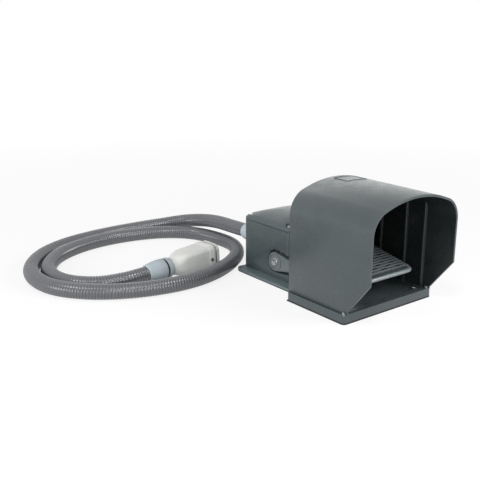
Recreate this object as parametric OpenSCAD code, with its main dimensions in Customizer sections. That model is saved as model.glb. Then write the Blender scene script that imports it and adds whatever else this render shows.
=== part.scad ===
// Guarded industrial foot switch with a flexible conduit and a plug connector.
// The floor is z = 0, the hood opens towards -Y, and y = 0 is the back of the hood.

/* [Base] */
// Width of the tray's ledge outside each side wall of the hood
tray_ledge = 2.75; // [1.5:0.25:10]
// Length of the tray, front to back
tray_l = 105; // [90:1:130]
// Height of the tray's top face above the floor
tray_h = 12.5; // [11:0.5:16]
// Thickness of the tray's top and skirt
tray_t = 4; // [3:0.5:5]
// Height of the tray's skirt above the floor
skirt_gap = 1.6; // [0.6:0.2:2]
// Thickness of the rubber mat under the base plate
mat_t = 1.5; // [1:0.5:3]
// Thickness of the steel base plate
plate_t = 3; // [2:0.5:4]
// Width of the base plate behind the hood
plate_w = 117.5; // [105:0.5:135]
// Length of the base plate behind the hood
plate_l = 141; // [138:1:170]
// Radius of the base plate's rear corners
plate_r = 10; // [4:1:16]
// Inset of the rubber mat from the edge of the plate
mat_inset = 1.5; // [1:0.5:5]
// Distance of the tray screws in from the outside of the hood's side walls
tray_screw_side = 16.25; // [15:0.25:30]
// Distance of the tray screws from the tray's front and rear edges
tray_screw_in = 13.5; // [11:0.5:20]

/* [Hood] */
// Outer width of the hood
hood_w = 154.5; // [140:0.5:158]
// Outer length of the hood at its top
hood_l = 141; // [120:1:160]
// Wall thickness of the hood
hood_t = 3; // [2.5:0.5:4]
// Height at which the side walls turn into the arch
hood_spring_z = 113.5; // [100:0.5:130]
// Height of the arch's crown above the top of the side walls
hood_rise = 40.5; // [36:0.5:50]
// Outer radius of the arch at the side walls
hood_side_r = 32; // [25:1:38]
// Height at which the front edge starts to slope back
hood_cut_z = 57.5; // [45:0.5:80]
// Distance that the front edge slopes back down to the tray
hood_cut_y = 37; // [25:1:50]
// Width of each rib inside the hood
rib_w = 5; // [4:0.5:7]
// Height of each rib above the wall
rib_h = 4; // [3:0.5:5]
// Distance of the foremost rib behind the tray's front edge
rib_front = 12.5; // [8:0.5:16]
// Distance from the foremost rib to the middle rib
rib_pitch = 31.5; // [26:0.5:34]
// Distance from the foremost rib to the rearmost rib
rib_span = 75.5; // [60:0.5:84]
// Width of the passage for the pedal arms in the back wall
portal_w = 96; // [92:1:110]
// Height of the top of that passage
portal_z = 62; // [60:1:80]
// Height of the rebate that shows as a line under the hood
hood_rebate = 0.8; // [0.4:0.2:1.6]

/* [Pedal] */
// Width of the pedal over its arms
pedal_w = 86.6; // [82:0.2:90]
// Width of the tread plate
tread_w = 92; // [88:0.5:94]
// Distance of the pedal's nose behind the tray's front edge
pedal_setback = 5; // [2:0.5:12]
// Height of the tread at the nose
pedal_nose_z = 45.5; // [44:0.5:50]
// Height of the tread at its rear end
pedal_rear_z = 62; // [58:0.5:66]
// Gap from the tread's rear end to the hood's back edge
pedal_rear_gap = 12; // [10:0.5:20]
// Thickness of the tread plate
tread_t = 4.5; // [3.5:0.5:6]
// Thickness of each arm
arm_t = 7; // [5:0.5:8]
// Radius of the arm's boss at the pivot
arm_boss_r = 13.5; // [11:0.5:14]
// Height of each arm where it leaves the housing
arm_neck = 16; // [14:0.5:19]
// Number of tread bars
bar_count = 13; // [8:1:16]
// Height of each tread bar
bar_h = 1.2; // [0.8:0.1:2]
// Full travel of the pedal in degrees
pedal_travel = 8; // [4:1:9]

/* [Pivot] */
// Distance of the pivot behind the hood
pivot_y = 70; // [66:1:74]
// Height of the pivot above the floor
pivot_z = 27.3; // [26:0.1:30]
// Diameter of the pivot shaft
shaft_d = 12; // [10:0.5:13]
// Outside diameter of the bushes
bush_d = 16; // [15:0.5:18]
// Radial running clearance of the shaft in the bushes
run_fit = 0.05; // [0.02:0.01:0.1]
// Clearance between moving pieces and their neighbours
move_gap = 0.5; // [0.3:0.1:0.8]
// Clearance of a screw or peg in its hole
screw_fit = 0.05; // [0.02:0.01:0.1]

/* [Housing] */
// Width of the switch housing
house_w = 87.6; // [86:0.2:100]
// Length of the switch housing
house_l = 97; // [92:1:97]
// Distance of the housing's front face behind the hood
house_y = 41.5; // [38:0.5:44]
// Height of the seam under the lid
seam_z = 75; // [74:0.5:90]
// Wall thickness of the housing
house_t = 4; // [3:0.5:4.5]
// Radius of the housing's upright edges
house_r = 4; // [2:0.5:6]
// Clearance of the pocket around the arm's boss
pocket_gap = 1.2; // [0.8:0.1:2]
// Height of the pocket above the arm's boss
pocket_rise = 5; // [4.8:0.1:6]
// Radius of the lid's rounded edge
lid_edge = 8; // [6:0.5:12]
// Height of the lid's crown above its corners
lid_crown = 9; // [6:0.5:12]
// Thickness of the lid gasket
gasket_t = 0.6; // [0.4:0.2:1.2]
// Inset of the housing's corner screws
post_in = 7.3; // [7:0.1:8]

/* [Switch] */
// Width of each contact block
block_w = 18; // [16:1:20]
// Length of each contact block
block_l = 26; // [24:1:28]
// Height of each contact block
block_h = 28; // [26:1:28]
// Height of the underside of the contact blocks
block_z = 42; // [41.5:0.5:44]
// Gap between the two contact blocks
block_gap = 3; // [2:0.5:6]
// Distance from the pivot to the plungers
plunger_reach = 22; // [21:0.5:24]
// Diameter of each plunger
plunger_d = 6; // [5:0.5:7]
// Distance from the pivot to the return spring
spring_reach = 18; // [17:0.5:19]
// Outside diameter of the return spring
spring_d = 12; // [10:0.5:13]
// Wire diameter of the return spring
spring_wire = 1.6; // [1.2:0.1:2]
// Number of turns of the return spring
spring_turns = 6; // [4:1:8]

/* [Conduit] */
// Outside diameter of the flexible conduit
conduit_d = 21; // [18:0.5:21]
// Height of the conduit's outlet above the floor
gland_z = 40; // [36:1:46]
// Offset of the conduit's outlet to the left of the middle
gland_x = 6; // [0:1:12]
// Length of the housing's gland outside the wall
gland_l = 46.5; // [36:0.5:50]
// Largest diameter of the gland nuts
gland_d = 29; // [27:0.5:30]
// Diameter of the gland's thread in the housing wall
thread_d = 20; // [16:0.5:22]

/* [Connector] */
// Width of the connector hood at its mouth
conn_w = 38; // [34:1:40]
// Height of the connector hood at its mouth
conn_h = 36; // [34:1:38]
// Length of the connector hood
conn_l = 66; // [50:1:70]
// Length of the gland on the connector
conn_gland_l = 38; // [36:1:50]
// Corner radius of the connector hood
conn_r = 9; // [8:0.5:14]
// Wall thickness of the connector hood
conn_t = 3; // [2:0.5:4]

/* [Hidden] */
$fn = 64;
eps = 0.01;

// Levels and edges that follow from the sizes above
plate_z = mat_t + plate_t;
floor_z = plate_z + house_t;
tray_w = hood_w + 2 * tray_ledge;
hood_top_z = hood_spring_z + hood_rise;
tray_front = -tray_l;
hood_tip_y = hood_cut_y - hood_l;
pedal_nose_y = tray_front + pedal_setback;
pedal_rear_y = -pedal_rear_gap;
house_back = house_y + house_l;
house_mid = house_y + house_l / 2;
body_top = seam_z - gasket_t;
arm_in = pedal_w / 2 - arm_t;
arm_out = pedal_w / 2;
pocket_x = arm_in - move_gap;
wall_in = pocket_x - house_t;
pocket_r = arm_boss_r + pocket_gap;
pocket_top = pivot_z + arm_boss_r + pocket_rise;
tread_slope = (pedal_rear_z - pedal_nose_z) / (pedal_rear_y - pedal_nose_y);
tread_angle = atan(tread_slope);
rib_ys = [for (d = [0, rib_pitch, rib_span]) tray_front + rib_front + d];
screw_ribs = [rib_ys[0], rib_ys[2]];
rib_x = hood_w / 2 - hood_t - rib_h / 2 + 0.5;

// Screw sizes: shank radius, head radius, head height
m5 = [2.5, 4.6, 3];
m4 = [2, 3.6, 2.5];
m3 = [1.5, 2.8, 2];
stop_screw = [1.25, 2.2, 1.6];
stop_screw_l = 5;
hood_screw_l = 14;
arm_screw_l = 13;
lid_grip = 13;
bracket_grip = 6;
plate_gap = 1;
// Places of the housing's floor screws: inwards from the walls, and from its front and its back
foot_in = [8, 24, 12];
earth_in = [8, 24];

function lerp(a, b, t) = a + (b - a) * t;
function unit(v) = v / norm(v);

// Catmull-Rom curve through a list of points, with its two end directions
function curve(p, start_dir, end_dir, steps) =
    let (n = len(p),
        first = p[0] - start_dir * norm(p[1] - p[0]),
        last = p[n - 1] + end_dir * norm(p[n - 1] - p[n - 2]),
        q = concat([first], p, [last]))
    concat([for (i = [1 : n - 1], k = [0 : steps - 1])
        spline_point(q[i - 1], q[i], q[i + 1], q[i + 2], k / steps)], [p[n - 1]]);
function spline_point(a, b, c, d, t) =
    0.5 * (2 * b + (c - a) * t + (2 * a - 5 * b + 4 * c - d) * t * t
        + (3 * b - a - 3 * c + d) * t * t * t);

// Round tube of radius r swept along points, given the directions at its two ends
module tube_along(points, r, sides, start_dir, end_dir, up = [0, 0, 1]) {
    n = len(points);
    rings = [for (i = [0 : n - 1])
        let (t = i == 0 ? start_dir : i == n - 1 ? end_dir : unit(points[i + 1] - points[i - 1]),
            side = unit(cross(t, up)),
            top = cross(side, t))
        for (k = [0 : sides - 1])
            points[i] + r * (cos(360 * k / sides) * side + sin(360 * k / sides) * top)];
    walls = [for (i = [0 : n - 2], k = [0 : sides - 1])
        [i * sides + k, i * sides + (k + 1) % sides,
         (i + 1) * sides + (k + 1) % sides, (i + 1) * sides + k]];
    first_cap = [for (k = [sides - 1 : -1 : 0]) k];
    last_cap = [for (k = [0 : sides - 1]) (n - 1) * sides + k];
    polyhedron(points = rings, faces = concat([first_cap], walls, [last_cap]), convexity = 8);
}

// Compression spring standing on z = 0, with its wire centre at radius r
module coil_spring(r, wire, length, turns, sides = 6, per_turn = 12) {
    count = turns * per_turn;
    pitch = (length - wire) / turns;
    points = [for (i = [0 : count])
        [r * cos(360 * i / per_turn), r * sin(360 * i / per_turn),
         wire / 2 + pitch * i / per_turn]];
    start_dir = unit([0, r * 2 * PI, pitch]);
    tube_along(points, wire / 2, sides, start_dir, start_dir);
}

// Flat outline with round corners, centred on the origin
module round_rect(w, l, r) {
    square([w - 2 * r, l], center = true);
    square([w, l - 2 * r], center = true);
    for (x = [-1, 1], y = [-1, 1])
        translate([x * (w / 2 - r), y * (l / 2 - r)]) circle(r);
}

// Lays a flat outline, drawn in Y and Z, along X from x0 to x1
module along_x(x0, x1) {
    translate([x0, 0, 0]) rotate([90, 0, 90]) linear_extrude(x1 - x0) children();
}

// Lays a flat outline, drawn in X and Z, along Y from y0 to y1
module along_y(y0, y1) {
    translate([0, y1, 0]) rotate([90, 0, 0]) linear_extrude(y1 - y0) children();
}

// Screw with its head above z = 0 and its shank below, with a cross or hexagon drive
module screw(size, length, hex = false) {
    difference() {
        union() {
            cylinder(r = size[1], h = size[2]);
            translate([0, 0, -length]) cylinder(r = size[0], h = length + eps);
        }
        translate([0, 0, size[2] / 2]) {
            if (hex) cylinder(r = size[0] * 0.9, h = size[2], $fn = 6);
            else for (a = [0, 90]) rotate(a) translate([-size[1] * 0.6, -0.5, 0])
                cube([size[1] * 1.2, 1, size[2]]);
        }
    }
}

// Places its children at the four floor screws of the housing
module at_house_feet() {
    for (x = [-1, 1], y = [house_y + foot_in[1], house_back - foot_in[2]])
        translate([x * (wall_in - foot_in[0]), y, 0]) children();
}

// Places its children at the four corner posts of the housing
module at_posts() {
    for (x = [-1, 1], y = [house_y + post_in, house_back - post_in])
        translate([x * (house_w / 2 - post_in), y, 0]) children();
}

// Places its children at the four screws that hold the tray on the base plate
module at_tray_screws() {
    for (x = [-1, 1], y = [tray_front + tray_screw_in, -tray_screw_in])
        translate([x * (hood_w / 2 - tray_screw_side), y, 0]) children();
}

// ---------------------------------------------------------------- base

// Outline of the base plate: wide under the tray and narrower behind it
module plate_outline(inset) {
    front_w = tray_w - 2 * (tray_t + plate_gap + inset);
    front_l = tray_l - 2 * (tray_t + plate_gap + inset);
    rear_w = plate_w - 2 * inset;
    translate([0, -tray_l / 2]) round_rect(front_w, front_l, 3);
    start = -tray_l / 2;
    stop = plate_l - inset;
    translate([0, (start + stop) / 2]) round_rect(rear_w, stop - start, plate_r - inset);
}

module base_plate() {
    color("dimgray") difference() {
        translate([0, 0, mat_t]) linear_extrude(plate_t) plate_outline(0);
        at_tray_screws() translate([0, 0, mat_t - 1])
            cylinder(r = m5[0] + screw_fit, h = plate_t + 2);
        at_house_feet() translate([0, 0, mat_t - 1])
            cylinder(r = m4[0] + screw_fit, h = plate_t + 2);
    }
}

module rubber_mat() {
    color("#202020") difference() {
        linear_extrude(mat_t) plate_outline(mat_inset);
        at_house_feet() translate([0, 0, -1]) cylinder(r = m4[1] + 1, h = mat_t + 2);
    }
}

// Shallow pan, open below, that carries the hood
module tray() {
    notch_w = plate_w + 2 * move_gap;
    color("#6b7476") difference() {
        translate([0, -tray_l / 2, skirt_gap])
            linear_extrude(tray_h - skirt_gap) round_rect(tray_w, tray_l, 4);
        difference() {
            translate([0, -tray_l / 2, 0]) linear_extrude(tray_h - tray_t)
                round_rect(tray_w - 2 * tray_t, tray_l - 2 * tray_t, 3.5);
            at_tray_screws() translate([0, 0, plate_z]) cylinder(r = 7, h = tray_h);
        }
        translate([-notch_w / 2, -tray_t - 1, 0]) cube([notch_w, tray_t + 2, plate_z + move_gap]);
        at_tray_screws() {
            cylinder(r = m5[0] + screw_fit, h = tray_h + 1);
            translate([0, 0, tray_h - 3]) cylinder(r = m5[1] + 0.8, h = 4);
        }
        for (x = [-1, 1], y = screw_ribs)
            translate([x * rib_x, y, 0]) cylinder(r = m3[0] + screw_fit, h = tray_h + 1);
    }
}

module tray_screws() {
    color("silver") at_tray_screws() translate([0, 0, tray_h - 3])
        screw(m5, tray_h - 3 - mat_t, hex = true);
}

// ---------------------------------------------------------------- hood

// Points along an arc, from one angle to another
function arc(cx, cz, r, from, to, steps) =
    [for (i = [0 : steps]) let (a = lerp(from, to, i / steps)) [cx + r * cos(a), cz + r * sin(a)]];

// Three-centre arch over straight legs that start at z0
module arch(half_w, side_r, rise, z0) {
    span = half_w - side_r;
    crown_r = (span * span + rise * rise - side_r * side_r) / (2 * (rise - side_r));
    crown_z = hood_spring_z + rise - crown_r;
    turn = atan2(hood_spring_z - crown_z, span);
    polygon(concat([[half_w, z0]],
        arc(span, hood_spring_z, side_r, 0, turn, 14),
        [for (p = arc(0, crown_z, crown_r, turn, 180 - turn, 20)) if (abs(p[0]) < span) p],
        arc(-span, hood_spring_z, side_r, 180 - turn, 180, 14),
        [[-half_w, z0]]));
}

module hood() {
    half_w = hood_w / 2;
    far = hood_l + 20;
    color("#6f797b") difference() {
        union() {
            difference() {
                along_y(-hood_l, 0) arch(half_w, hood_side_r, hood_rise, tray_h);
                along_y(-far, -hood_t)
                    arch(half_w - hood_t, hood_side_r - hood_t, hood_rise - hood_t, tray_h - 1);
            }
            intersection() {
                for (s = [-1, 1], y = rib_ys) translate([s * (half_w - hood_t), y, tray_h])
                    linear_extrude(hood_top_z) round_rect(2 * rib_h, rib_w, rib_w / 2 - 0.5);
                along_y(-hood_l, 0) arch(half_w - 1, hood_side_r - 1, hood_rise - 1, tray_h);
            }
        }
        along_x(-half_w - 1, half_w + 1) polygon([[-far, hood_cut_z], [-hood_l, hood_cut_z],
            [hood_tip_y, tray_h], [hood_tip_y, tray_h - 2], [-far, tray_h - 2]]);
        along_y(-hood_t - 1, 1) translate([0, (portal_z + tray_h - 20) / 2])
            round_rect(portal_w, portal_z - tray_h + 20, 8);
        for (s = [-1, 1]) translate([s * (half_w + 1), -hood_l / 2, tray_h - 1])
            cube([4, hood_l + 2, 2 * (1 + hood_rebate)], center = true);
        for (s = [-1, 1], y = screw_ribs)
            translate([s * rib_x, y, tray_h - tray_t])
                cylinder(r = m3[0] + screw_fit, h = hood_screw_l + 1);
    }
}

module hood_screws() {
    color("silver") for (s = [-1, 1], y = screw_ribs)
        translate([s * rib_x, y, tray_h - tray_t]) rotate([180, 0, 0])
            screw(m3, hood_screw_l);
}

// ---------------------------------------------------------------- housing

// Side view of the pocket that an arm turns in, open to the front, with room for the stop above
module pocket_outline() {
    sweep = (pivot_y - house_y) * sin(pedal_travel);
    translate([pivot_y, pivot_z]) circle(pocket_r);
    polygon([[pivot_y, pivot_z - pocket_r],
        [pivot_y + arm_boss_r * 0.75, pivot_z], [pivot_y + arm_boss_r * 0.75, pivot_z + arm_boss_r],
        [pivot_y, pocket_top], [pivot_y - 18, pocket_top], [house_y - 1, pocket_top - 5],
        [house_y - 1, neck_z - arm_neck / 2 - sweep - pocket_gap]]);
}

module house_block(inset, z0, z1) {
    translate([0, house_mid, z0]) linear_extrude(z1 - z0)
        round_rect(house_w - 2 * inset, house_l - 2 * inset, max(house_r - inset, 0.5));
}

module housing_body() {
    low_top = pocket_top + 3;
    low_back = bracket_y + bracket_t + 1;
    color("#66706f") difference() {
        union() {
            difference() {
                house_block(0, plate_z, body_top);
                house_block(house_t, low_top, body_top + 1);
                translate([-wall_in, house_y + house_t, floor_z])
                    cube([2 * wall_in, house_l - 2 * house_t, low_top]);
                translate([-house_w / 2 + house_t, low_back, floor_z])
                    cube([house_w - 2 * house_t, house_back - house_t - low_back, low_top]);
            }
            intersection() {
                at_posts() translate([0, 0, low_top - 1]) cylinder(r = 5.5, h = body_top - low_top + 1);
                house_block(0, plate_z, body_top);
            }
        }
        along_x(pocket_x, house_w) pocket_outline();
        along_x(-house_w, -pocket_x) pocket_outline();
        translate([-house_w, pivot_y, pivot_z]) rotate([0, 90, 0])
            cylinder(r = bush_d / 2, h = 2 * house_w);
        translate([-gland_x, house_back - house_t - 1, gland_z]) rotate([-90, 0, 0])
            cylinder(r = thread_d / 2 + screw_fit, h = house_t + 2);
        at_posts() translate([0, 0, body_top - lid_grip - 1])
            cylinder(r = m4[0] + screw_fit, h = lid_grip + 2);
        at_house_feet() translate([0, 0, plate_z - 1]) cylinder(r = m4[0] + screw_fit, h = house_t + 2);
        at_earth() translate([0, 0, 1 - house_t]) cylinder(r = m4[0] + screw_fit, h = house_t);
        for (s = [-1, 1]) at_stop_screw(s) translate([0, 0, -stop_screw_l - 1])
            cylinder(r = stop_screw[0] + screw_fit, h = stop_screw_l + 2);
        at_bracket_screws() translate([0, 0, -bracket_t - bracket_grip - 1])
            cylinder(r = m3[0] + screw_fit, h = bracket_t + bracket_grip + 2);
    }
}

module housing_screws() {
    color("silver") at_house_feet() translate([0, 0, mat_t]) rotate([180, 0, 0])
        low_screw(m4, plate_t + house_t, mat_t - 0.3);
}

// Screw with a low head that fits inside the mat
module low_screw(size, length, head) {
    difference() {
        union() {
            cylinder(r = size[1], h = head);
            translate([0, 0, -length]) cylinder(r = size[0], h = length + eps);
        }
        translate([0, 0, head / 2]) for (a = [0, 90]) rotate(a)
            translate([-size[1] * 0.6, -0.5, 0]) cube([size[1] * 1.2, 1, head]);
    }
}

lid_lip = 1;
lid_top = seam_z + lid_edge + lid_crown;
recess_z = seam_z + lid_edge - 4;

// Profile of the lid over a half width: short lip, round edge, and shallow crown
module lid_profile(half) {
    side = half - lid_edge;
    rise = lid_top - seam_z - lid_lip;
    crown_r = (side * side + rise * rise - lid_edge * lid_edge) / (2 * (rise - lid_edge));
    crown_z = lid_top - crown_r;
    turn = atan2(seam_z + lid_lip - crown_z, side);
    polygon(concat([[half, seam_z]],
        arc(side, seam_z + lid_lip, lid_edge, 0, turn, 8),
        [for (p = arc(0, crown_z, crown_r, turn, 180 - turn, 14)) if (abs(p[0]) < side) p],
        arc(-side, seam_z + lid_lip, lid_edge, 180 - turn, 180, 8),
        [[-half, seam_z]]));
}

module housing_lid() {
    color("#757e80") difference() {
        intersection() {
            house_block(0, seam_z, lid_top + 1);
            along_y(house_y, house_back) lid_profile(house_w / 2);
            translate([0, house_mid, 0]) rotate(90)
                along_y(-house_w / 2, house_w / 2) lid_profile(house_l / 2);
        }
        difference() {
            union() {
                house_block(house_t, seam_z - 1, seam_z + lid_lip);
                house_block(house_t + lid_edge / 2, seam_z - 1, seam_z + lid_edge - 2);
            }
            at_posts() translate([0, 0, seam_z - 1]) cylinder(r = 6.5, h = lid_edge);
        }
        at_posts() {
            translate([0, 0, seam_z - 1]) cylinder(r = m4[0] + screw_fit, h = lid_edge + 2);
            translate([0, 0, recess_z]) cylinder(r = m4[1] + 1.2, h = lid_top);
        }
    }
}

module lid_gasket() {
    color("#1c1c1c") difference() {
        house_block(1, body_top, seam_z);
        difference() {
            house_block(house_t - 0.5, body_top - 1, seam_z + 1);
            at_posts() translate([0, 0, body_top - 1]) cylinder(r = 5, h = gasket_t + 2);
        }
        at_posts() translate([0, 0, body_top - 1]) cylinder(r = m4[0] + screw_fit, h = gasket_t + 2);
    }
}

module lid_screws() {
    color("silver") at_posts() translate([0, 0, recess_z]) screw(m4, recess_z - body_top + lid_grip);
}

bush_in = wall_in - 1;
seal_t = 1.5;

module bush(s) {
    color("peru") translate([s * bush_in, pivot_y, pivot_z]) rotate([0, s * 90, 0]) difference() {
        union() {
            cylinder(r = bush_d / 2 + 2, h = 1);
            cylinder(r = bush_d / 2 - screw_fit, h = pocket_x - bush_in - seal_t);
        }
        translate([0, 0, -1]) cylinder(r = shaft_d / 2 + run_fit, h = house_t + 4);
    }
}
module bush_left() { bush(-1); }
module bush_right() { bush(1); }

module shaft_seals() {
    color("#1c1c1c") for (s = [-1, 1])
        translate([s * (pocket_x - seal_t), pivot_y, pivot_z]) rotate([0, s * 90, 0]) difference() {
            cylinder(r = bush_d / 2 - screw_fit, h = seal_t);
            translate([0, 0, -1]) cylinder(r = shaft_d / 2 + run_fit, h = seal_t + 2);
        }
}

// Places a stop screw above an arm, looking out of the pocket
module at_stop_screw(s) {
    translate([s * pocket_x, pivot_y - 6, pivot_z + arm_boss_r + stop_screw[1] + 0.4])
        rotate([0, s * 90, 0]) children();
}

module stop_screws() {
    color("silver") for (s = [-1, 1]) at_stop_screw(s) screw(stop_screw, stop_screw_l);
}

module at_earth() {
    translate([earth_in[0] - wall_in, house_back - earth_in[1], floor_z]) children();
}

module earth_screw() {
    color("silver") at_earth() screw(m4, house_t - 1);
}

// ---------------------------------------------------------------- pedal

// Height of the tread's top face at a place along Y
function tread_z(y) = pedal_nose_z + (y - pedal_nose_y) * tread_slope;

neck_z = pivot_z + 0.7;

// Side view of an arm with its skirt along the tread, which ends inside the tread plate
module arm_outline() {
    sunk = tread_t / 2;
    nose_y = pedal_nose_y + 8;
    rear_y = pedal_rear_y - 3;
    polygon(concat(arc(pivot_y, pivot_z, arm_boss_r, -90, 90, 36), [
        [house_y, neck_z + arm_neck / 2], [pedal_rear_y + 20, pedal_rear_z - 12],
        [rear_y + 4, pedal_rear_z - 4.5], [rear_y, tread_z(rear_y) - sunk],
        [nose_y, tread_z(nose_y) - sunk],
        [nose_y, pedal_nose_z - tread_t + 0.5], [0, pivot_z - 2.3],
        [house_y, neck_z - arm_neck / 2]]));
}

// Frame of the tread: +Y runs from the nose to the rear along its top face
module on_tread() {
    translate([0, pedal_nose_y, pedal_nose_z]) rotate([tread_angle, 0, 0]) children();
}

tread_l = (pedal_rear_y - pedal_nose_y) / cos(tread_angle);
bar_pitch = (tread_l - 16) / bar_count;
slot_l = 9;
slot_w = bar_pitch * 0.42;
slot_pitch = (arm_in - slot_l / 2 - 1) / 1.25;

// Outline of a slot with round ends
module slot_outline() {
    r = slot_w / 2;
    polygon(concat(arc(slot_l / 2 - r, 0, r, -90, 90, 6), arc(r - slot_l / 2, 0, r, 90, 270, 6)));
}

module pedal() {
    color("#7a8486") difference() {
        union() {
            along_x(arm_in, arm_out) arm_outline();
            along_x(-arm_out, -arm_in) arm_outline();
            for (s = [-1, 1]) translate([s * (arm_out - 1), pivot_y, pivot_z]) rotate([0, s * 90, 0])
                difference() {
                    cylinder(r = arm_boss_r - 0.5, h = 1.8);
                    translate([0, 0, -1]) cylinder(r = arm_boss_r - 3, h = 3);
                }
            on_tread() {
                translate([0, tread_l / 2, -tread_t]) linear_extrude(tread_t)
                    round_rect(tread_w, tread_l, 7);
                for (i = [0 : bar_count - 1])
                    translate([-tread_w / 2, 8 + i * bar_pitch, -1])
                        cube([tread_w, bar_pitch * 0.5, bar_h + 1]);
            }
        }
        on_tread() for (i = [0 : bar_count - 2], k = [-1 : 1])
            translate([(k + (i % 2 == 0 ? 0.25 : -0.25)) * slot_pitch,
                8 + (i + 0.75) * bar_pitch, -tread_t - 1])
                linear_extrude(tread_t + 2) slot_outline();
        for (s = [-1, 1]) translate([s * (arm_in - 1), pivot_y, pivot_z]) rotate([0, s * 90, 0]) {
            cylinder(r = shaft_d / 2 + screw_fit, h = arm_t - 1.5);
            cylinder(r = m5[0] + screw_fit, h = arm_t + 2);
        }
    }
}

shaft_end = arm_in + arm_t - 2.5 - screw_fit;

module pivot_shaft() {
    color("lightgray") translate([-shaft_end, pivot_y, pivot_z]) rotate([0, 90, 0]) difference() {
        cylinder(r = shaft_d / 2, h = 2 * shaft_end);
        for (z = [-1, 2 * shaft_end - arm_screw_l + 1]) translate([0, 0, z])
            cylinder(r = m5[0] + screw_fit, h = arm_screw_l);
    }
}

module arm_screws() {
    color("silver") for (s = [-1, 1]) translate([s * (arm_out + 0.8), pivot_y, pivot_z])
        rotate([0, s * 90, 0]) screw([m5[0], 4.4, 2.4], arm_screw_l);
}

module arm_washers() {
    color("gainsboro") for (s = [-1, 1]) translate([s * arm_out, pivot_y, pivot_z])
        rotate([0, s * 90, 0]) difference() {
            cylinder(r = 5, h = 0.8);
            translate([0, 0, -1]) cylinder(r = m5[0] + screw_fit, h = 3);
        }
}

// ---------------------------------------------------------------- switch mechanism

nose_r = 4;
nose_z = pivot_z + 6.5;
hub_r = shaft_d / 2 + 4;
cam_w = block_w * 2 + block_gap - 6;

module cam_lever() {
    hub_w = cam_w;
    color("gray") difference() {
        along_x(-hub_w / 2, hub_w / 2) difference() {
            union() {
                translate([pivot_y, pivot_z]) circle(hub_r);
                translate([pivot_y + plunger_reach, nose_z]) circle(nose_r);
                translate([pivot_y - spring_reach, nose_z]) circle(nose_r);
                translate([pivot_y - spring_reach, nose_z - nose_r + 1])
                    square([spring_reach + plunger_reach, 2 * nose_r - 1]);
            }
            translate([pivot_y, pivot_z]) circle(shaft_d / 2 + screw_fit);
        }
        translate([0, pivot_y, pivot_z]) cylinder(r = m4[0] + screw_fit, h = 20);
    }
}

module cam_screw() {
    top = nose_z + nose_r;
    color("silver") translate([0, pivot_y, top])
        screw([m4[0], m4[1], 2.2], top - pivot_z - shaft_d / 2 - 0.2, hex = true);
}

spring_y = pivot_y - spring_reach;
seat_t = 2;
cup_z = nose_z - nose_r - 0.3 - 3;

module spring_seat() {
    color("gray") translate([0, spring_y, floor_z]) {
        cylinder(r = spring_d / 2, h = seat_t);
        translate([0, 0, seat_t - eps]) cylinder(r = spring_d / 2 - spring_wire - 0.6, h = 3);
    }
}

module spring_cup() {
    color("gray") translate([0, spring_y, cup_z]) {
        cylinder(r = spring_d / 2, h = 3);
        translate([0, 0, -3]) cylinder(r = spring_d / 2 - spring_wire - 0.6, h = 3 + eps);
    }
}

module return_spring() {
    color("silver") translate([0, spring_y, floor_z + seat_t + 0.1])
        coil_spring(spring_d / 2 - spring_wire / 2, spring_wire, cup_z - floor_z - seat_t - 0.2,
            spring_turns);
}

block_y = pivot_y + plunger_reach - 9;
block_mid = block_y + block_l / 2;
plunger_y = pivot_y + plunger_reach;
block_x = (block_w + block_gap) / 2;
block_wall = 2.5;
block_top = block_z + block_h;
plunger_low = nose_z + nose_r + 0.3;
bridge_z = block_z + 11;
bridge_t = 1.2;
plunger_travel = plunger_reach * pedal_travel * PI / 180;
fixed_z = bridge_z + bridge_t + plunger_travel + 0.1;

// Moulded block, open at the top of its chamber, with a bore for its plunger
module contact_block(s) {
    color("#26282a") translate([s * block_x, 0, 0]) difference() {
        translate([-block_w / 2, block_y, block_z]) cube([block_w, block_l, block_h]);
        translate([-block_w / 2 + block_wall, block_y + block_wall, block_z + 6])
            cube([block_w - 2 * block_wall, block_l - 2 * block_wall, block_h]);
        translate([0, plunger_y, block_z - 1]) cylinder(r = plunger_d / 2 + run_fit, h = 10);
    }
}
module contact_block_left() { contact_block(-1); }
module contact_block_right() { contact_block(1); }

// Two fixed contacts that the bridge closes
module fixed_contacts(s) {
    chamber = block_w / 2 - block_wall;
    color("goldenrod") for (k = [-1, 1]) translate([s * block_x, 0, 0]) {
        x0 = k > 0 ? 3.8 : -chamber;
        translate([x0, plunger_y - 3, fixed_z]) cube([chamber - 3.8, 6, 1]);
        translate([k > 0 ? chamber - 1 : -chamber, plunger_y - 3, fixed_z])
            cube([1, 6, block_top - fixed_z - 1]);
    }
}
module fixed_contacts_left() { fixed_contacts(-1); }
module fixed_contacts_right() { fixed_contacts(1); }

module plunger(s) {
    color("firebrick") translate([s * block_x, plunger_y, plunger_low]) {
        cylinder(r = plunger_d / 2, h = bridge_z - plunger_low);
        cylinder(r = 1.5, h = bridge_z - plunger_low + 7);
    }
}
module plunger_left() { plunger(-1); }
module plunger_right() { plunger(1); }

module bridge(s) {
    color("gold") translate([s * block_x, plunger_y, bridge_z]) difference() {
        translate([-6, -2.5, 0]) cube([12, 5, bridge_t]);
        translate([0, 0, -1]) cylinder(r = 1.5 + screw_fit, h = 4);
    }
}
module bridge_left() { bridge(-1); }
module bridge_right() { bridge(1); }

module plunger_spring(s) {
    low = bridge_z + bridge_t + 0.1;
    color("silver") translate([s * block_x, plunger_y, low])
        coil_spring(2.4, 0.8, block_top - 3.1 - low, 4, per_turn = 10);
}
module plunger_spring_left() { plunger_spring(-1); }
module plunger_spring_right() { plunger_spring(1); }

// Sheet bracket that bridges the housing and carries both blocks from behind
bracket_t = 2.5;
bracket_y = block_y + block_l;
bracket_foot = pocket_top + 3;
terminal_y = block_mid + 5;
terminal_low = block_z + 13;
terminal_high = block_z + 22;

module at_bracket_screws() {
    for (s = [-1, 1]) translate([s * (wall_in + 3), bracket_y - 8, bracket_foot + bracket_t]) children();
}

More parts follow.
